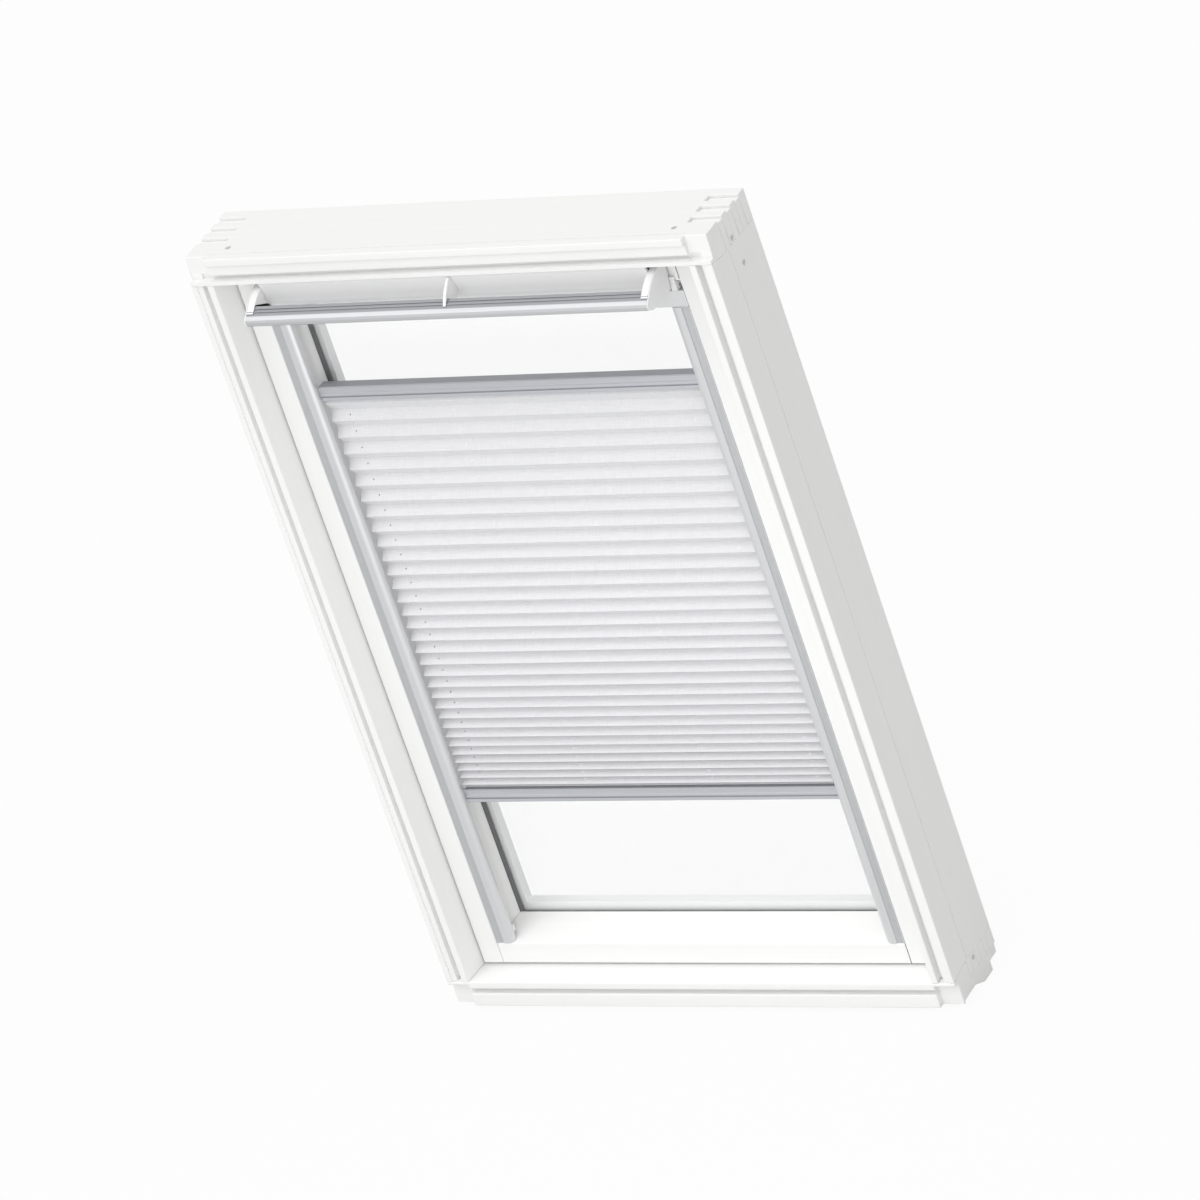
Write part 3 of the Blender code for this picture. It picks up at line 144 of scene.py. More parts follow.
def lacqueredPine(name, grainAxis):
    # water-based white lacquer on planed pine: satin, with the grain just telling through
    size = [5.0, 5.0, 5.0]
    size[grainAxis] = 240.0  # the grain runs this far along the board
    material, tree, shader = newMaterial(name, {"IOR": 1.5, "Coat Weight": 0.12, "Coat Roughness": 0.25})
    surfaceDetail(tree, shader, size, ("#F6F6F5", "#F1F1F0"), (0.36, 0.50), (0.10, 0.0004))
    return material


def mouldedPlastic(name, tones):
    # moulded ABS with a fine spark-eroded grain, drawn at 1.6 mm so that it shows
    material, tree, shader = newMaterial(name, {"IOR": 1.53})
    surfaceDetail(tree, shader, (1.6, 1.6, 1.6), tones, (0.38, 0.48), (0.06, 0.0002))
    return material


def brushedAluminium(name, brushAxis, tones):
    # anodised aluminium brushed along its length: a satin film over metal, with fine lines at 0.9 mm
    size = [0.9, 0.9, 0.9]
    size[brushAxis] = 160.0
    material, tree, shader = newMaterial(name, {"Metallic": 0.75})
    surfaceDetail(tree, shader, size, tones, (0.42, 0.54), (0.10, 0.0001), 2.0)
    return material


def powderCoat(name):
    # polyester powder coat on folded aluminium: orange-peel texture of 1.5 mm
    material, tree, shader = newMaterial(name, {"IOR": 1.5})
    surfaceDetail(tree, shader, (1.5, 1.5, 1.5), ("#5E6062", "#64666A"), (0.42, 0.55), (0.16, 0.0003))
    return material


def zincPlate(name, tones, metallic):
    # zinc on steel: a cool metal whose crystals of about 6 mm vary in tone
    material, tree, shader = newMaterial(name, {"Metallic": metallic})
    surfaceDetail(tree, shader, (6.0, 6.0, 6.0), tones, (0.24, 0.38), (0.05, 0.0002), 2.0)
    return material


def extrudedRubber(name, tones):
    # EPDM rubber: matt, with a bloom of 4 mm patches
    material, tree, shader = newMaterial(name, {"IOR": 1.5})
    surfaceDetail(tree, shader, (4.0, 4.0, 4.0), tones, (0.62, 0.78), (0.12, 0.0002))
    return material


def openFoam(name):
    # open-cell polyurethane filter foam: cells of about 1.2 mm
    material, tree, shader = newMaterial(name, {"IOR": 1.45, "Roughness": 0.92})
    cells = addNode(tree, "ShaderNodeTexVoronoi", {"Scale": 1.0}, {"Vector": patternSpace(tree, [1.2] * 3)})
    depth = cells.outputs["Distance"]
    bump = addNode(tree, "ShaderNodeBump", {"Strength": 0.8, "Distance": 0.0008}, {"Height": depth})
    # the tone darkens towards each cell's middle, where the bump sinks it: painted shade in the pores
    tree.links.new(mixedTone(tree, ("#1D1E20", "#55575A"), depth), shader.inputs["Base Color"])
    tree.links.new(bump.outputs["Normal"], shader.inputs["Normal"])
    return material


def floatGlass(name):
    # clear coated float glass: light passes nearly straight through, and a faint roller wave of
    # 200 to 333 mm bends what it reflects
    material, tree, shader = newMaterial(
        name, {"Base Color": toLinear("#FFFFFF"), "Roughness": 0.0, "IOR": 1.5, "Transmission Weight": 1.0})
    wave = addNode(tree, "ShaderNodeTexNoise", {"Scale": 1.0, "Detail": 0.0},
                   {"Vector": patternSpace(tree, (1000.0 / 3, 1000.0 / 3, 200.0))})
    bump = addNode(tree, "ShaderNodeBump", {"Strength": 0.02, "Distance": 0.0005},
                   {"Height": wave.outputs["Fac"]})
    tree.links.new(bump.outputs["Normal"], shader.inputs["Normal"])
    clear = addNode(tree, "ShaderNodeBsdfTransparent", {"Color": toLinear("#FFFFFF")})
    rays = addNode(tree, "ShaderNodeLightPath")
    share = addNode(tree, "ShaderNodeMath", {"operation": "MAXIMUM", 1: 0.97},  # all of a shadow ray passes
                    {0: rays.outputs["Is Shadow Ray"]})
    mix = addNode(tree, "ShaderNodeMixShader", None,
                  {0: share.outputs[0], 1: shader.outputs["BSDF"], 2: clear.outputs["BSDF"]})
    tree.links.new(mix.outputs["Shader"], tree.nodes["Material Output"].inputs["Surface"])
    return material


def perforatedSpacer(name):
    # pale spacer tube, pierced every 5 mm to let the drying beads breathe
    material, tree, shader = newMaterial(name, {"Roughness": 0.45})
    dots = addNode(tree, "ShaderNodeTexVoronoi", {"Scale": 1.0, "Randomness": 0.0},
                   {"Vector": patternSpace(tree, [5.0] * 3)})
    edge = addNode(tree, "ShaderNodeMapRange", {"From Min": 0.10, "From Max": 0.16},
                   {"Value": dots.outputs["Distance"]})
    tone = mixedTone(tree, ("#C4C6C8", "#F6F7F7"), edge.outputs["Result"])
    tree.links.new(tone, shader.inputs["Base Color"])
    return material


def pleatedPolyester(name):
    # close-woven white polyester with a pearl finish: threads of 0.35 mm, drawn at 1.1 mm so that they show
    material, tree, shader = newMaterial(
        name, {"Roughness": 0.78, "IOR": 1.45, "Sheen Weight": 0.15, "Sheen Roughness": 0.5})
    long = 1000.0 / 60  # a thread's slubs, in millimetres
    fine = 1000.0 / 900
    threads = [addNode(tree, "ShaderNodeTexNoise", {"Scale": 1.0, "Detail": 1.0},
                       {"Vector": patternSpace(tree, size)}).outputs["Fac"]
               for size in ((long, fine, fine), (fine, long, long))]
    weave = addNode(tree, "ShaderNodeMath", {"operation": "MULTIPLY"}, dict(enumerate(threads))).outputs[0]
    spread = addNode(tree, "ShaderNodeMapRange", {"From Min": 0.12, "From Max": 0.4}, {"Value": weave})
    bump = addNode(tree, "ShaderNodeBump", {"Strength": 0.15, "Distance": 0.0003}, {"Height": weave})
    tree.links.new(mixedTone(tree, ("#DEDEE0", "#E6E6E8"), spread.outputs["Result"]),
                   shader.inputs["Base Color"])
    tree.links.new(bump.outputs["Normal"], shader.inputs["Normal"])
    return material


finishes = {
    "lacquerUpright": lacqueredPine("white lacquer on upright pine", 2),
    "lacquerAcross": lacqueredPine("white lacquer on cross pine", 0),
    "whiteAbs": mouldedPlastic("white moulded ABS", ("#F3F3F3", "#EEEEEF")),
    "barAluminium": brushedAluminium("anodised aluminium brushed across", 0, ("#D6D7D9", "#CBCCCE")),
    # painted shade: a darker copy of the bar's aluminium for its slope and underside
    "barPaintedShade": brushedAluminium("anodised aluminium with painted shade on the bar's slope", 0,
                                 ("#A5A6A9", "#97989B")),
    "channelAluminium": brushedAluminium("anodised aluminium brushed upright", 2, ("#E6E7E8", "#DBDCDD")),
    # painted shade: a darker copy of the channel's aluminium for the recessed outer band
    "channelRecessPaintedShade": brushedAluminium("anodised aluminium with painted shade in the recess", 2,
                                      ("#D8D9DB", "#CCCDCF")),
    "railAluminium": brushedAluminium("cool grey anodised aluminium", 0, ("#D2D4D9", "#C7C9CE")),
    # painted shade: a darker copy of the rail's aluminium for its top face, upward edges and groove
    "railPaintedShade": brushedAluminium("cool grey anodised aluminium left dull in the groove", 0,
                                   ("#B5B7BC", "#AAACB1")),
    "screwZinc": zincPlate("dull zinc under a trace of lacquer", ("#E2E3E4", "#D2D3D5"), 0.35),
    "powderGrey": powderCoat("grey powder coat"),
    "zinc": zincPlate("bright zinc on steel", ("#C9CCD0", "#AEB2B7"), 1.0),
    "rubber": extrudedRubber("black EPDM rubber", ("#232426", "#2C2D2F")),
    "gasketRubber": extrudedRubber("grey EPDM rubber", ("#6B6C6E", "#767779")),
    "foam": openFoam("dark filter foam"),
    "glass": floatGlass("clear float glass"),
    "spacer": perforatedSpacer("perforated spacer"),
    "polyester": pleatedPolyester("white pleated polyester"),
}
print("materials made:", len(finishes))


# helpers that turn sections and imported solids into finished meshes
def finishMesh(name, shape, body, finish, replaced, sharpAngle=50.0, second=None):
    mesh = bpy.data.meshes.new(name)
    shape.to_mesh(mesh)
    shape.free()
    old = mesh.attributes.get("custom_normal")
    if old is not None:
        mesh.attributes.remove(old)
    mesh.materials.append(finishes[finish])
    if second:
        mesh.materials.append(finishes[second])
    else:
        for polygon in mesh.polygons:
            polygon.material_index = 0
    mesh.shade_smooth()
    mesh.set_sharp_from_angle(angle=math.radians(sharpAngle))
    piece = bpy.data.objects.new(name, mesh)
    bpy.context.scene.collection.objects.link(piece)
    normals = piece.modifiers.new("even shading", "WEIGHTED_NORMAL")
    normals.keep_sharp = True
    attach(piece, body)
    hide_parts(*replaced)


# which edges are eased: their least length and turn, and how many radii wide both faces have to be
easing = {"shortest": 0.006, "leastTurn": 28.0, "leastRadii": 2.1, "segments": 2, "mergeWithin": 0.00002,
          "flatWithin": 0.6, "foldedArea": 2e-9}


def easeEdges(shape, radius, keptSharp):
    # rounds the long edges between faces that are wide enough to take it
    picked = []
    for edge in shape.edges:
        if len(edge.link_faces) != 2 or edge.calc_length() < easing["shortest"]:
            continue
        if keptSharp and all(abs(v.co.x) > keptSharp[0] and v.co.z < keptSharp[1] for v in edge.verts):
            continue
        if edge.calc_face_angle(0.0) < math.radians(easing["leastTurn"]):
            continue
        widths = [face.calc_area() / edge.calc_length() for face in edge.link_faces]
        if min(widths) > easing["leastRadii"] * radius:
            picked.append(edge)
    bmesh.ops.bevel(shape, geom=picked, offset=radius, offset_type="OFFSET", segments=easing["segments"],
                    profile=0.5, affect="EDGES", clamp_overlap=False, loop_slide=True)


def cutFoldedFaces(shape):
    # a many-sided face that would fold over when it is split for rendering is split well here
    shape.normal_update()
    folded = set()
    for a, b, c in shape.calc_loop_triangles():
        facing = (b.vert.co - a.vert.co).cross(c.vert.co - a.vert.co).dot(a.face.normal)
        if facing < -easing["foldedArea"]:
            folded.add(a.face)
    chosen = [face for face in shape.faces if face in folded and len(face.verts) > 4]
    bmesh.ops.triangulate(shape, faces=chosen, ngon_method="BEAUTY")


def easedCopy(nodeName, finish, body, radius, keptSharp=None):
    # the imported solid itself, merged, its flat faces joined and its edges eased, apart from any
    # that lie further out and lower than keptSharp says
    shape = bmesh.new()
    shape.from_mesh(frame["nodes"][nodeName].data)
    bmesh.ops.remove_doubles(shape, verts=shape.verts, dist=easing["mergeWithin"])
    bmesh.ops.dissolve_limit(shape, angle_limit=math.radians(easing["flatWithin"]),
                             use_dissolve_boundaries=False, verts=shape.verts, edges=shape.edges)
    easeEdges(shape, radius, keptSharp)
    cutFoldedFaces(shape)
    finishMesh(f"{nodeName}_finished", shape, body, finish, (nodeName,))


def roundCorners(points, radius, steps, sharp):
    # a closed section with its corners turned into arcs, apart from those listed as sharp and the flat ones
    flatAngle = math.radians(168)
    mostReach = 0.45  # share of either side that an arc may take
    count = len(points)
    result = []
    for i, corner in enumerate(points):
        here = Vector(corner)
        if i in sharp:
            result.append(tuple(here))
            continue
        back = Vector(points[i - 1]) - here
        ahead = Vector(points[(i + 1) % count]) - here
        angle = back.angle(ahead)
        if angle > flatAngle:
            result.append(tuple(here))
            continue
        reach = min(radius / math.tan(angle / 2), back.length * mostReach, ahead.length * mostReach)
        start = here + back.normalized() * reach
        end = here + ahead.normalized() * reach
        for k in range(steps + 1):
            t = k / steps
            result.append(tuple(start * (1 - t) ** 2 + here * 2 * t * (1 - t) + end * t ** 2))
    return result


def runSection(shape, section, axis, low, high):
    # a closed section run along X (drawn in n and s) or Z (drawn in world x and n)
    rings = []
    for level in (low, high):
        ring = []
        for a, b in section:
            place = (level, yOf(a), zOf(b)) if axis == "X" else (a, yOf(b), level)
            ring.append(shape.verts.new(place))
        rings.append(ring)
    first, second = rings
    count = len(section)
    faces = [shape.faces.new(first), shape.faces.new(list(reversed(second)))]
    for i in range(count):
        j = (i + 1) % count
        faces.append(shape.faces.new((first[j], first[i], second[i], second[j])))
    bmesh.ops.recalc_face_normals(shape, faces=faces)
    return faces


def sides():
    return ((-1, "left"), (1, "right"))


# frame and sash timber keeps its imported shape, with its edges eased
timber = {"frameEdge": 0.0012, "sashEdge": 0.0010,
          "slotEnds": (0.357, 1.169)}  # where the top slot runs into the corners

for node, finish in (
    ("frame_left_stile", "lacquerUpright"), ("frame_right_stile", "lacquerUpright"),
    ("frame_top_member", "lacquerAcross"), ("frame_bottom_member", "lacquerAcross"),
):
    sharp = timber["slotEnds"] if node == "frame_top_member" else None
    easedCopy(node, finish, "frame", timber["frameEdge"], sharp)
for node, finish in (
    ("sash_left_stile", "lacquerUpright"), ("sash_right_stile", "lacquerUpright"),
    ("sash_top_rail", "lacquerAcross"), ("sash_bottom_rail", "lacquerAcross"),
):
    easedCopy(node, finish, "sash", timber["sashEdge"])
print("timber eased")

# covers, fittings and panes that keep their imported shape: finish, slot, body and radius of their edges
fittings = {
    "outer_cover_left": ("powderGrey", "grey_cover", "sash", 0.0016),
    "outer_cover_right": ("powderGrey", "grey_cover", "sash", 0.0016),
    "outer_cover_top": ("powderGrey", "grey_cover", "sash", 0.0016),
    "outer_cover_bottom": ("powderGrey", "grey_cover", "sash", 0.0016),
    "flap_bracket_left": ("whiteAbs", "white_plastic", "sash", 0.0008),
    "flap_bracket_right": ("whiteAbs", "white_plastic", "sash", 0.0008),
    "channel_stop_left": ("whiteAbs", "white_plastic", "sash", 0.0006),
    "channel_stop_right": ("whiteAbs", "white_plastic", "sash", 0.0006),
    "channel_housing_left": ("channelAluminium", "silver_aluminium", "sash", 0.0012),
    "channel_housing_right": ("channelAluminium", "silver_aluminium", "sash", 0.0012),
    "latch_case": ("zinc", "zinc_steel", "sash", 0.0006),
    "latch_tongue": ("zinc", "zinc_steel", "latch", 0.0010),
    "latch_strike_plate": ("zinc", "zinc_steel", "frame", 0.0004),
    "hinge_bearing_left": ("zinc", "zinc_steel", "frame", 0.0006),
    "hinge_bearing_right": ("zinc", "zinc_steel", "frame", 0.0006),
    "hinge_arm_left": ("zinc", "zinc_steel", "sash", 0.0006),
    "hinge_arm_right": ("zinc", "zinc_steel", "sash", 0.0006),
    "inner_pane": ("glass", "clear_glass", "sash", 0.0005),
    "outer_pane": ("glass", "clear_glass", "sash", 0.0005),
    "bar_fin_left": ("whiteAbs", "white_plastic", "vent_flap_and_bar", 0.0006),
    "bar_fin_right": ("whiteAbs", "white_plastic", "vent_flap_and_bar", 0.0006),
    "bar_fin_middle": ("whiteAbs", "white_plastic", "vent_flap_and_bar", 0.0009),
    "bar_plug_left": ("whiteAbs", "white_plastic", "vent_flap_and_bar", 0.0005),
    "bar_plug_right": ("whiteAbs", "white_plastic", "vent_flap_and_bar", 0.0005),
    "top_rail_slider_left": ("whiteAbs", "white_plastic", "blind_top_rail", 0.0006),
    "top_rail_slider_right": ("whiteAbs", "white_plastic", "blind_top_rail", 0.0006),
    "bottom_rail_slider_left": ("whiteAbs", "white_plastic", "blind_bottom_rail", 0.0006),
    "bottom_rail_slider_right": ("whiteAbs", "white_plastic", "blind_bottom_rail", 0.0006),
}
for node, (finish, slotName, body, radius) in fittings.items():
    easedCopy(node, finish, body, radius)

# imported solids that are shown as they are
plainNodes = {
    "sash_seal": "rubber", "vent_filter": "foam",
    "flap_pin_left": "zinc", "flap_pin_right": "zinc",
}
for node, finish in plainNodes.items():
    mesh = frame["nodes"][node].data
    mesh.materials.clear()
    mesh.materials.append(finishes[finish])

# the gasket's bottom run hardly shows above the sash, and the spacer shows as a narrow band
glazingEdge = {"gasketLowered": 0.0058, "spacerDrawnBack": 0.008, "clear": 0.002}


def ringCopy(node):
    # a copy of a packed ring, with the vertices on its inner edge
    shape = bmesh.new()
    shape.from_mesh(frame["nodes"][node].data)
    low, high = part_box(node)
    clear = glazingEdge["clear"]
    inner = [v for v in shape.verts
             if low.x + clear < v.co.x < high.x - clear and low.z + clear < v.co.z < high.z - clear]
    return shape, inner, (low + high) / 2


def buildGlazingEdge():
    shape, inner, middle = ringCopy("glazing_gasket")
    for vertex in inner:
        if vertex.co.z < middle.z:
            vertex.co.z -= glazingEdge["gasketLowered"]
    finishMesh("glazing_gasket_finished", shape, "sash", "gasketRubber", ("glazing_gasket",))
    shape, inner, middle = ringCopy("pane_spacer")
    for vertex in inner:
        vertex.co.x += math.copysign(glazingEdge["spacerDrawnBack"], vertex.co.x - middle.x)
        vertex.co.z += math.copysign(glazingEdge["spacerDrawnBack"], vertex.co.z - middle.z)
    finishMesh("pane_spacer_finished", shape, "sash", "spacer", ("pane_spacer",))


buildGlazingEdge()
print("fittings finished")

# screws in the frame
screws = {"headRadius": 0.0037, "headHeight": 0.0024, "shankRadius": 0.0021, "length": 0.034,
          "pointRadius": 0.0006, "slotWidth": 0.0009, "slotDepth": 0.0012}
slotReach = 1.25  # length of a slot in head radii


def screwTree():
    tree = bpy.data.node_groups.new("screws on points", "GeometryNodeTree")
    inputs = [("Geometry", "NodeSocketGeometry")] + [(key, "NodeSocketFloat") for key in screws]
    for name, kind in inputs + [("finish", "NodeSocketMaterial")]:
        tree.interface.new_socket(name=name, in_out="INPUT", socket_type=kind)
    tree.interface.new_socket(name="Geometry", in_out="OUTPUT", socket_type="NodeSocketGeometry")
    given = addNode(tree, "NodeGroupInput")
    head = addNode(tree, "GeometryNodeMeshCone", {"Vertices": 24}, {
        "Radius Top": given.outputs["headRadius"], "Radius Bottom": given.outputs["shankRadius"],
        "Depth": given.outputs["headHeight"]})
    shank = addNode(tree, "GeometryNodeMeshCone", {"Vertices": 16}, {
        "Radius Top": given.outputs["shankRadius"], "Radius Bottom": given.outputs["pointRadius"],
        "Depth": given.outputs["length"]})
    lower = addNode(tree, "ShaderNodeMath", {"operation": "MULTIPLY", 1: -1.0}, {0: given.outputs["length"]})
    lift = addNode(tree, "ShaderNodeCombineXYZ", None, {"Z": lower.outputs[0]})
    shankDown = addNode(tree, "GeometryNodeTransform", None,
                        {"Geometry": shank.outputs["Mesh"], "Translation": lift.outputs[0]})
    long = addNode(tree, "ShaderNodeMath", {"operation": "MULTIPLY", 1: slotReach},
                   {0: given.outputs["headRadius"]}).outputs[0]
    wide = given.outputs["slotWidth"]
    top = addNode(tree, "ShaderNodeCombineXYZ", None, {"Z": given.outputs["headHeight"]})
    driven = head.outputs["Mesh"]
    for across, along in ((long, wide), (wide, long)):  # the two arms of the cross
        size = addNode(tree, "ShaderNodeCombineXYZ", None,
                       {"X": across, "Y": along, "Z": given.outputs["slotDepth"]})
        bar = addNode(tree, "GeometryNodeMeshCube", None, {"Size": size.outputs[0]})
        cutter = addNode(tree, "GeometryNodeTransform", None,
                         {"Geometry": bar.outputs["Mesh"], "Translation": top.outputs[0]})
        cut = addNode(tree, "GeometryNodeMeshBoolean", {"operation": "DIFFERENCE"},
                      {"Mesh 1": driven, "Mesh 2": cutter.outputs["Geometry"]})
        driven = cut.outputs["Mesh"]
    whole = addNode(tree, "GeometryNodeJoinGeometry")
    tree.links.new(driven, whole.inputs["Geometry"])
    tree.links.new(shankDown.outputs["Geometry"], whole.inputs["Geometry"])
    aim = addNode(tree, "GeometryNodeInputNamedAttribute", {"data_type": "FLOAT_VECTOR", "Name": "turn"})
    placed = addNode(tree, "GeometryNodeInstanceOnPoints", None, {
        "Points": given.outputs["Geometry"], "Instance": whole.outputs["Geometry"],
        "Rotation": aim.outputs["Attribute"]})
    real = addNode(tree, "GeometryNodeRealizeInstances", None, {"Geometry": placed.outputs["Instances"]})
    painted = addNode(tree, "GeometryNodeSetMaterial", None,
                      {"Geometry": real.outputs["Geometry"], "Material": given.outputs["finish"]})
    addNode(tree, "NodeGroupOutput", None, {"Geometry": painted.outputs["Geometry"]})
    return tree


def plainResult(host, name):
    # the evaluated tree as a plain mesh on a clean object
    bpy.context.view_layer.update()
    depsgraph = bpy.context.evaluated_depsgraph_get()
    mesh = bpy.data.meshes.new_from_object(host.evaluated_get(depsgraph))
    mesh.name = name
    bpy.data.objects.remove(host, do_unlink=True)
    result = bpy.data.objects.new(name, mesh)
    bpy.context.scene.collection.objects.link(result)
    return result


def buildScrews():
    names = [f"side_screw_{row}_{word}" for _, word in sides() for row in ("upper", "middle", "lower")]
    names += [f"top_screw_{word}" for _, word in sides()]
    mesh = bpy.data.meshes.new("screw places")
    places = []
    turns = []
    depth = screws["headHeight"]
    for name in names:
        low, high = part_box(name)
        middle = (low + high) / 2
        if name.startswith("top"):
            places.append((middle.x, middle.y, high.z - depth))
            turns.append((0.0, 0.0, 0.4))  # driven in with the cross a little askew
        else:
            side = 1 if middle.x > 0 else -1
            edge = high.x if side > 0 else low.x
            places.append((edge - side * depth, middle.y, middle.z))
            turns.append((0.0, side * math.pi / 2, 0.0))
    mesh.from_pydata(places, [], [])
    attribute = mesh.attributes.new("turn", "FLOAT_VECTOR", "POINT")
    for item, turn in zip(attribute.data, turns):
        item.vector = turn
    host = bpy.data.objects.new("screw places", mesh)
    bpy.context.scene.collection.objects.link(host)
    tree = screwTree()
    modifier = host.modifiers.new("screws", "NODES")
    modifier.node_group = tree
    for socket in tree.interface.items_tree:
        if socket.in_out == "INPUT" and socket.name in screws:
            modifier[socket.identifier] = screws[socket.name]
        if socket.in_out == "INPUT" and socket.name == "finish":
            modifier[socket.identifier] = finishes["screwZinc"]
    result = plainResult(host, "frame_screws")
    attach(result, "frame")
    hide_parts(*names)


buildScrews()
print("screws placed")

# vent flap and pull bar
flapSizes = {"axis": (0.040, 0.088), "barrel": 0.004, "thickness": 0.0035, "top": (0.0048, 0.0412),
             "knee": (0.0112, 0.073), "sag": 0.0022, "heelDip": 0.0042, "halfLength": 0.2897, "steps": 14,
             "barrelSteps": 14, "barrelTurn": math.pi * 0.86, "tipReach": 0.6}
barSizes = {"halfLength": 0.300, "back": -0.017, "front": -0.036, "top": 0.062, "bottom": 0.085,
            "corners": ((0.68, 0.32), (0.94, 0.46), (1.0, 0.62), (0.90, 0.86), (0.58, 1.0)),
            "cornerRadius": 0.0015, "grooves": (0.30, 0.62), "grooveWidth": 0.0018, "grooveFloor": 0.38,
            "grooveDepth": 0.0013, "noseStart": 0.0702, "noseEnd": 0.0806}


def buildFlap():
    # a curved blade down to the knee, then a heel back to the hinge barrel
    sizes = flapSizes
    steps = sizes["steps"]
    line = []
    for i in range(steps + 1):
        t = i / steps
        bow = 4 * t * (1 - t) * sizes["sag"]
        line.append((sizes["top"][0] + (sizes["knee"][0] - sizes["top"][0]) * t + bow,
                     sizes["top"][1] + (sizes["knee"][1] - sizes["top"][1]) * t))
    for i in range(1, steps + 1):
        t = i / steps
        dip = 4 * t * (1 - t) * sizes["heelDip"]
        line.append((sizes["knee"][0] + (sizes["axis"][0] - sizes["knee"][0]) * t,
                     sizes["knee"][1] + (sizes["axis"][1] - sizes["knee"][1]) * t + dip))
    half = sizes["thickness"] / 2
    front = []
    back = []
    for i, (n, s) in enumerate(line):
        before = Vector(line[max(i - 1, 0)])
        after = Vector(line[min(i + 1, len(line) - 1)])
        along = (after - before).normalized()
        front.append((n - along.y * half, s + along.x * half))
        back.append((n + along.y * half, s - along.x * half))
    axis = Vector(sizes["axis"])
    lead = Vector(line[-1]) - Vector(line[-2])
    base = math.atan2(lead.y, lead.x)
    barrel = []
    for k in range(1, sizes["barrelSteps"]):  # round the hinge barrel from the front face to the back face
        angle = base + sizes["barrelTurn"] * (1 - 2 * k / sizes["barrelSteps"])
        barrel.append((axis.x + sizes["barrel"] * math.cos(angle),
                       axis.y + sizes["barrel"] * math.sin(angle)))
    outline = front[:-1] + barrel + list(reversed(back[:-1]))
    tip = Vector(line[0]) - (Vector(line[1]) - Vector(line[0])).normalized() * half * sizes["tipReach"]
    shape = bmesh.new()
    runSection(shape, [tuple(tip)] + outline, "X", -sizes["halfLength"], sizes["halfLength"])
    finishMesh("vent_flap_finished", shape, "vent_flap_and_bar", "whiteAbs", ("vent_flap",))


def grooved(start, end):
    # points along the bar's slope, with its square grooves cut in
    width = barSizes["grooveWidth"]
    a = Vector(start)
    b = Vector(end)
    along = (b - a).normalized()
    inward = Vector((-along.y, along.x)) * barSizes["grooveDepth"]
    points = [tuple(a)]
    for share in barSizes["grooves"]:
        middle = a + (b - a) * share
        floor = along * width * barSizes["grooveFloor"]
        points += [tuple(middle - along * width / 2), tuple(middle - floor + inward),
                   tuple(middle + floor + inward), tuple(middle + along * width / 2)]
    points.append(tuple(b))
    return points


def barOutline():
    back = barSizes["back"]
    top = barSizes["top"]
    reach = back - barSizes["front"]
    height = barSizes["bottom"] - top
    corners = [(back - reach * a, top + height * b) for a, b in barSizes["corners"]]
    return [(back, top)] + corners + [(back, barSizes["bottom"])]


def buildBar():
    outer = barOutline()
    slope = grooved(outer[0], outer[1])
    section = roundCorners(slope[:-1] + outer[1:], barSizes["cornerRadius"], 4, range(len(slope) - 1))
    shape = bmesh.new()
    half = barSizes["halfLength"]
    faces = runSection(shape, section, "X", -half, half)
    # faces above and below the nose take the darker copy: painted shade on the slope and underside
    for i, (a, b) in enumerate(zip(section, section[1:] + section[:1])):
        middle = (a[1] + b[1]) / 2
        if middle < barSizes["noseStart"] or middle > barSizes["noseEnd"]:
            faces[i + 2].material_index = 1
    finishMesh("pull_bar_finished", shape, "vent_flap_and_bar", "barAluminium",
               ("pull_bar",), 30.0, "barPaintedShade")


buildFlap()
buildBar()
print("flap and bar made")

# blind channels: a recessed outer band with painted shade, a flat ridge and a rounded inner edge
channelSizes = {"start": 0.0758, "face": 0.0279, "front": 0.034, "back": 0.054, "wall": 0.002, "lip": 0.009,
                "backLip": 0.011, "rim": 0.0010, "ridgeStart": 0.0880, "ridgeEnd": 0.0962,
                "recessDepth": 0.0012, "ribs": 5, "ribDepth": 0.0005, "ribShares": (0.42, 0.58, 0.84),
                "splay": 0.0195 / 0.0495, "footSlope": 0.019 / 0.0495}


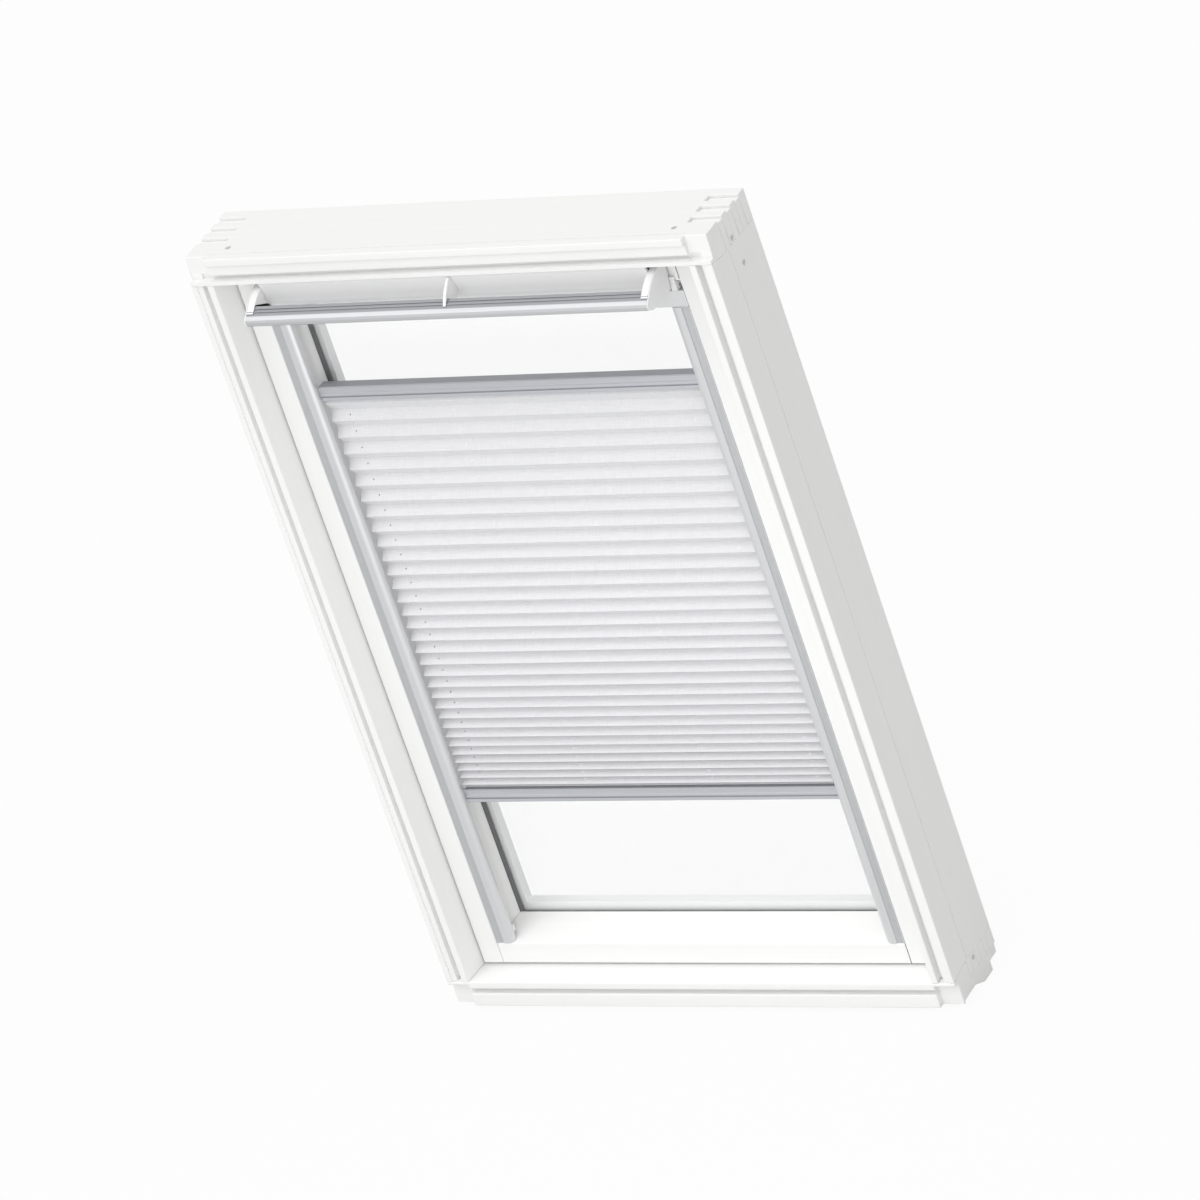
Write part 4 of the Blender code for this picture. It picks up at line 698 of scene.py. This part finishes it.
def buildChannel(side, word):
    # an outer wall that follows the sash's splayed stile, a face towards the room and an inner lip
    sizes = channelSizes
    low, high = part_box(f"blind_channel_{word}")
    front = sizes["front"]
    back = sizes["back"]
    wall = sizes["wall"]
    outer = sizes["start"]
    inner = outer + sizes["face"]
    splay = sizes["splay"]
    backX = outer + (back - front) * splay
    floorN = front + sizes["recessDepth"]
    ribStart = outer + sizes["rim"] + 0.0004
    ribEnd = sizes["ridgeStart"] - 0.0006
    pitch = (ribEnd - ribStart) / sizes["ribs"]
    section = [(outer, front), (outer + sizes["rim"], front), (ribStart, floorN)]
    rise, top, fall = sizes["ribShares"]
    for rib in range(sizes["ribs"]):
        place = ribStart + rib * pitch
        section += [(place + pitch * rise, floorN), (place + pitch * top, floorN + sizes["ribDepth"]),
                    (place + pitch * fall, floorN + sizes["ribDepth"]), (place + pitch, floorN)]
    recessed = range(2, len(section))
    section += [
        (sizes["ridgeStart"], front + 0.0002), (sizes["ridgeStart"] + 0.0003, front),
        (sizes["ridgeEnd"], front), (sizes["ridgeEnd"] + 0.0024, front + 0.0006),
        (inner - 0.0022, front + 0.0021), (inner - 0.0007, front + 0.0036), (inner, front + 0.0056),
        (inner, front + sizes["lip"]), (inner - wall, front + sizes["lip"]), (inner - wall, front + 0.0048),
        (inner - wall - 0.0020, front + wall + 0.0012), (sizes["ridgeEnd"], front + wall),
        (outer + wall * (1 + splay), front + wall), (backX + wall * (1 - splay), back - wall),
        (backX + sizes["backLip"], back - wall), (backX + sizes["backLip"], back), (backX, back),
    ]
    shape = bmesh.new()
    faces = runSection(shape, [(xOf(side, x), n) for x, n in section], "Z", low.z, high.z)
    # the recess's faces take the darker copy: painted shade
    for i in recessed:
        faces[i + 2].material_index = 1
    for vertex in faces[0].verts:  # the foot follows the slope of the sash's bottom rail
        vertex.co.z += (vertex.co.y - yOf(front)) * sizes["footSlope"]
    finishMesh(f"blind_channel_{word}_finished", shape, "sash", "channelAluminium",
               (f"blind_channel_{word}",), 30.0, "channelRecessPaintedShade")


for side, word in sides():
    buildChannel(side, word)
print("channels made")

# blind: the cloth's settings come first, because its ends are clamped in the rails
cloth = {"start": 0.2458, "end": 0.8577, "pleats": 32, "slope": 0.016, "first": 0.0264, "last": 0.0110,
         "power": 1.3, "middle": 0.052, "thickness": 0.00035, "edgeX": 0.1053, "bow": 0.0004,
         "clamped": 0.003, "holeShares": (0.05, 0.33, 0.67, 0.95), "holeRadius": 0.0013,
         "holeCell": 0.004, "columnStep": 0.035, "singleSlopes": 4, "growth": 1.5, "mostSlopes": 8}
railSizes = {"front": 0.044, "endX": 0.1048, "clampSlot": 0.0012,
             "top": {"start": 0.224, "height": 0.0215, "depth": 0.016},
             "bottom": {"start": 0.858, "height": 0.020, "depth": 0.013}}


def buildRail(end):
    # a closed section in n and s, with a slot on the side towards the cloth
    sizes = railSizes[end]
    start = sizes["start"]
    height = sizes["height"]
    depth = sizes["depth"]
    front = railSizes["front"]
    clampN = cloth["middle"]
    half = railSizes["clampSlot"] / 2
    clampDepth = cloth["clamped"] + 0.001
    upper = [(clampN + half, start), (clampN + half, start + clampDepth), (clampN - half, start + clampDepth),
             (clampN - half, start)]
    lower = [(n, 2 * start + height - s) for n, s in reversed(upper)]
    outline = [
        (front + 0.0012, start), (front + 0.0003, start + 0.0016), (front + 0.0003, start + 0.0032),
        (front + 0.0009, start + 0.0038), (front + 0.0009, start + height * 0.42),
        (front, start + height * 0.47),
        (front, start + height - 0.0077), (front + 0.0010, start + height - 0.0075),
        (front + 0.0010, start + height - 0.0055), (front, start + height - 0.0053),
        (front, start + height - 0.0008), (front + 0.0008, start + height),
    ]
    if end == "top":
        outline += lower
    outline += [
        (front + depth - 0.0008, start + height), (front + depth, start + height - 0.0008),
        (front + depth, start + 0.0008), (front + depth - 0.0008, start),
    ]
    if end == "bottom":
        outline += upper
    shape = bmesh.new()
    half = window["halfWidth"] - railSizes["endX"]
    faces = runSection(shape, outline, "X", -half, half)
    # these faces take the darker copy: painted shade
    for i, (a, b) in enumerate(zip(outline, outline[1:] + outline[:1])):
        if a[1] == b[1] == start or i in (0, 4, 6, 7, 8):  # the top face, the upward edges and the groove
            faces[i + 2].material_index = 1
    name = f"blind_{end}_rail"
    finishMesh(f"{name}_finished", shape, name, "railAluminium", (name,), 25.0,
               "railPaintedShade")


buildRail("top")
buildRail("bottom")
print("blind rails made")

# pleated cloth, in closed strips that share their edges
def foldLine():
    # depth and drop of each fold, from inside the top rail's slot to inside the bottom rail's
    pitches = []
    for i in range(cloth["pleats"]):
        share = i / (cloth["pleats"] - 1)
        pitches.append(cloth["first"] - (cloth["first"] - cloth["last"]) * share ** cloth["power"])
    scale = (cloth["end"] - cloth["start"]) / sum(pitches)
    s = cloth["start"]
    folds = [(cloth["middle"], s - cloth["clamped"])]
    for pitch in pitches:
        step = pitch * scale
        depth = math.sqrt(max(cloth["slope"] ** 2 - (step / 2) ** 2, 0.0)) / 2
        folds.append((cloth["middle"] - depth, s + step * 0.25))
        folds.append((cloth["middle"] + depth, s + step * 0.75))
        s += step
    folds.append((cloth["middle"], s + cloth["clamped"]))
    return folds


def columnsTo(places, end):
    # even steps from the last place to the next
    start = places[-1]
    gap = end - start
    parts = max(1, round(gap / cloth["columnStep"]))
    return [start + gap * (k + 1) / parts for k in range(parts)]


def clothColumns():
    # x places across the cloth, and which of them are the middles of cord holes
    half = window["halfWidth"] - cloth["edgeX"]
    places = [-half]
    holes = []
    for share in cloth["holeShares"]:
        centre = -half + share * 2 * half
        places += columnsTo(places, centre - cloth["holeCell"])
        holes.append(len(places))
        places += [centre, centre + cloth["holeCell"]]
    return places + columnsTo(places, half), holes


def clothFaces(folds):
    # the line of folds and slightly bowed slopes, with its front and back points mitred at every bend
    line = []
    for k, fold in enumerate(folds[:-1]):
        here = Vector(fold)
        ahead = Vector(folds[k + 1])
        along = (ahead - here).normalized()
        middle = (here + ahead) / 2 + Vector((along.y, -along.x)) * cloth["bow"] * (1 if k % 2 else -1)
        if k == 0:
            middle = Vector((cloth["middle"], cloth["start"]))
        if k == len(folds) - 2:
            middle = Vector((cloth["middle"], cloth["end"]))
        line += [here, middle]
    line.append(Vector(folds[-1]))
    faces = []
    for i, place in enumerate(line):
        after = (line[min(i + 1, len(line) - 1)] - line[min(i, len(line) - 2)]).normalized()
        before = (line[max(i, 1)] - line[max(i - 1, 0)]).normalized()
        bisector = (before + after).normalized()
        across = Vector((-bisector.y, bisector.x))
        reach = across * cloth["thickness"] / 2 / across.dot(Vector((-after.y, after.x)))
        faces.append((place + reach, place - reach))
    return line, faces


def holedSlope(shape, top, middle, bottom, holes):
    # one side of a slope: cells across it, with an octagonal hole at each cord place
    beside = {c for h in holes for c in (h - 1, h)}
    for c in range(len(top) - 1):
        if c not in beside:
            shape.faces.new((top[c], top[c + 1], middle[c + 1], middle[c]))
            shape.faces.new((middle[c], middle[c + 1], bottom[c + 1], bottom[c]))
    rings = []
    for h in holes:
        around = [top[h - 1], top[h], top[h + 1], middle[h + 1], bottom[h + 1], bottom[h], bottom[h - 1],
                  middle[h - 1]]
        centre = middle[h].co.copy()
        ring = [shape.verts.new(centre + (v.co - centre).normalized() * cloth["holeRadius"]) for v in around]
        for m in range(8):
            shape.faces.new((around[m], around[(m + 1) % 8], ring[(m + 1) % 8], ring[m]))
        shape.verts.remove(middle[h])
        rings.append(ring)
    return rings


def buildStrip(index, folds, first, last, columns, holes):
    # a closed strip of cloth from fold number first to fold number last
    line, faces = clothFaces(folds)
    span = range(2 * first, 2 * last + 1)
    shape = bmesh.new()
    rows = [[[shape.verts.new((x, yOf(place.x), zOf(place.y))) for x in columns] for place in faces[i]]
            for i in span]
    for c in (0, len(columns) - 1):  # the two side edges
        for upper, lower in zip(rows, rows[1:]):
            shape.faces.new((upper[0][c], upper[1][c], lower[1][c], lower[0][c]))
    for front, back in (rows[0], rows[-1]):  # the ends, where the next strip goes on
        for c in range(len(columns) - 1):
            shape.faces.new((front[c], front[c + 1], back[c + 1], back[c]))
    for k in range(0, len(rows) - 1, 2):
        clamped = first + k // 2 in (0, len(folds) - 2)
        both = [holedSlope(shape, rows[k][f], rows[k + 1][f], rows[k + 2][f], () if clamped else holes)
                for f in (0, 1)]
        for front, back in zip(*both):
            for m in range(8):
                shape.faces.new((front[m], front[(m + 1) % 8], back[(m + 1) % 8], back[m]))
    bmesh.ops.recalc_face_normals(shape, faces=shape.faces)
    folded = sum(math.dist(line[a], line[a + 1]) for a in span[:-1])
    mesh = bpy.data.meshes.new(f"pleated_cloth_{index:02d}")
    shape.to_mesh(mesh)
    shape.free()
    mesh.materials.append(finishes["polyester"])
    mesh.shade_smooth()
    mesh.set_sharp_from_angle(angle=math.radians(30))
    strip = bpy.data.objects.new(mesh.name, mesh)
    bpy.context.scene.collection.objects.link(strip)
    return strip, folded


def stripEnds(folds):
    # fold numbers at which the strips meet: one slope each near the rails, more pleats in the middle
    count = len(folds) - 1
    length = cloth["end"] - cloth["start"]
    single = cloth["singleSlopes"]
    growth = cloth["growth"]
    most = cloth["mostSlopes"]
    shares = [min(max((s - cloth["start"]) / length, 0.0), 1.0) for _, s in folds]
    ends = list(range(single + 1))
    while shares[ends[-1]] < 0.5:
        limit = min(growth * shares[ends[-1]], 0.5)
        reach = ends[-1]
        while reach < count and shares[reach + 1] <= limit and reach - ends[-1] < most:
            reach += 1
        ends.append(max(reach, ends[-1] + 1))
    lower = [count - k for k in range(single + 1)]
    while lower[-1] > ends[-1]:
        limit = growth * (1 - shares[lower[-1]])
        reach = lower[-1]
        while reach - 1 >= ends[-1] and 1 - shares[reach - 1] <= limit and lower[-1] - reach < most:
            reach -= 1
        lower.append(min(reach, lower[-1] - 1))
    return ends + sorted(set(lower) - set(ends)), shares


def buildCloth():
    folds = foldLine()
    columns, holes = clothColumns()
    ends, shares = stripEnds(folds)
    for index, (first, last) in enumerate(zip(ends, ends[1:]), 1):
        strip, folded = buildStrip(index, folds, first, last, columns, holes)
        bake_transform(strip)
        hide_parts("pleated_cloth")
    print("cloth strips:", len(ends) - 1)


buildCloth()

# floor, light and camera
studio = {"seen": 1.0, "level": 0.60, "towards": (0.0, -0.22, 0.42), "least": 0.03, "floorTone": "#D2D2D2",
          "floorSeen": 0.95, "floorReach": 60.0,
          "keyStrength": 0.62, "keyFrom": (-0.30, -0.38, 0.87), "keySpread": 35.0,
          "frontPlace": (0.25, -1.35, 0.75), "frontAim": (-0.30, 0.0, 0.66), "frontSize": (0.2, 1.0),
          "frontPower": 4.0}


def seenDirectly(tree):
    # by the camera, or by it through the glass
    rays = addNode(tree, "ShaderNodeLightPath")
    return addNode(tree, "ShaderNodeMath", {"operation": "MAXIMUM"},
                   {0: rays.outputs["Is Camera Ray"], 1: rays.outputs["Is Transmission Ray"]}).outputs[0]


def aimed(name, data, towards, place=(0.0, 0.0, 0.0)):
    # a lamp whose light comes from the direction given
    lamp = bpy.data.objects.new(name, data)
    lamp.location = place
    lamp.rotation_mode = "QUATERNION"
    lamp.rotation_quaternion = Vector(towards).to_track_quat("Z", "Y")
    bpy.context.scene.collection.objects.link(lamp)


def buildStudio():
    world = bpy.data.worlds.new("studio")
    world.use_nodes = True
    tree = world.node_tree
    lit = tree.nodes["Background"]
    lit.inputs["Color"].default_value = (1.0, 1.0, 1.0, 1.0)
    away = addNode(tree, "ShaderNodeNewGeometry").outputs["Incoming"]
    lean = addNode(tree, "ShaderNodeVectorMath",
                   {"operation": "DOT_PRODUCT", 1: [-v for v in studio["towards"]]}, {0: away})
    level = addNode(tree, "ShaderNodeMath", {"operation": "ADD", 1: studio["level"]},
                    {0: lean.outputs["Value"]})
    strength = addNode(tree, "ShaderNodeMath", {"operation": "MAXIMUM", 1: studio["least"]},
                       {0: level.outputs[0]})
    tree.links.new(strength.outputs[0], lit.inputs["Strength"])
    seen = addNode(tree, "ShaderNodeBackground", {"Color": (1.0, 1.0, 1.0, 1.0), "Strength": studio["seen"]})
    mix = addNode(tree, "ShaderNodeMixShader", None,
                  {0: seenDirectly(tree), 1: lit.outputs[0], 2: seen.outputs[0]})
    tree.links.new(mix.outputs[0], tree.nodes["World Output"].inputs["Surface"])
    bpy.context.scene.world = world

    material, tree, shader = newMaterial("pale studio floor", {
        "Base Color": toLinear(studio["floorTone"]), "Roughness": 0.9, "Specular IOR Level": 0.1})
    glow = addNode(tree, "ShaderNodeEmission", {"Strength": studio["seen"]})
    share = addNode(tree, "ShaderNodeMath", {"operation": "MULTIPLY", 1: studio["floorSeen"]},
                    {0: seenDirectly(tree)})
    mix = addNode(tree, "ShaderNodeMixShader", None,
                  {0: share.outputs[0], 1: shader.outputs["BSDF"], 2: glow.outputs["Emission"]})
    tree.links.new(mix.outputs[0], tree.nodes["Material Output"].inputs["Surface"])
    mesh = bpy.data.meshes.new("floor")
    reach = studio["floorReach"]
    corners = [(-reach, -reach, 0.0), (reach, -reach, 0.0), (reach, reach, 0.0), (-reach, reach, 0.0)]
    mesh.from_pydata(corners, [], [(0, 1, 2, 3)])
    mesh.materials.append(material)
    floor = bpy.data.objects.new("floor", mesh)
    bpy.context.scene.collection.objects.link(floor)

    sun = bpy.data.lights.new("key", "SUN")
    sun.energy = studio["keyStrength"]
    sun.angle = math.radians(studio["keySpread"])
    aimed("key", sun, studio["keyFrom"])

    # a tall narrow lamp in front reaches the reveals that face right, and not the outer side face
    lamp = bpy.data.lights.new("front", "AREA")
    lamp.shape = "RECTANGLE"
    lamp.size, lamp.size_y = studio["frontSize"]
    lamp.energy = studio["frontPower"]
    aimed("front", lamp, Vector(studio["frontPlace"]) - Vector(studio["frontAim"]), studio["frontPlace"])


# solved from the photo: lens in millimetres on a 36 mm wide sensor, place, and two of its directions
photoCamera = {"lens": 277.0, "sensor": 36.0, "place": (6.178, -8.747, 6.194),
               "nearest": 0.1, "furthest": 200.0,
               "right": (0.8591, 0.4194, -0.2933), "forward": (-0.5115, 0.7239, -0.4630)}


def buildCamera():
    data = bpy.data.cameras.new("camera")
    data.lens = photoCamera["lens"]
    data.sensor_width = photoCamera["sensor"]
    data.clip_start = photoCamera["nearest"]
    data.clip_end = photoCamera["furthest"]
    camera = bpy.data.objects.new("camera", data)
    right = Vector(photoCamera["right"])
    forward = Vector(photoCamera["forward"]).normalized()
    right = (right - forward * right.dot(forward)).normalized()
    up = right.cross(forward)
    turn = Matrix((right, up, -forward)).transposed()
    camera.matrix_world = Matrix.Translation(photoCamera["place"]) @ turn.to_4x4()
    bpy.context.scene.collection.objects.link(camera)
    bpy.context.scene.camera = camera


buildStudio()
buildCamera()
bpy.context.scene.view_settings.view_transform = "Standard"
print("studio ready")
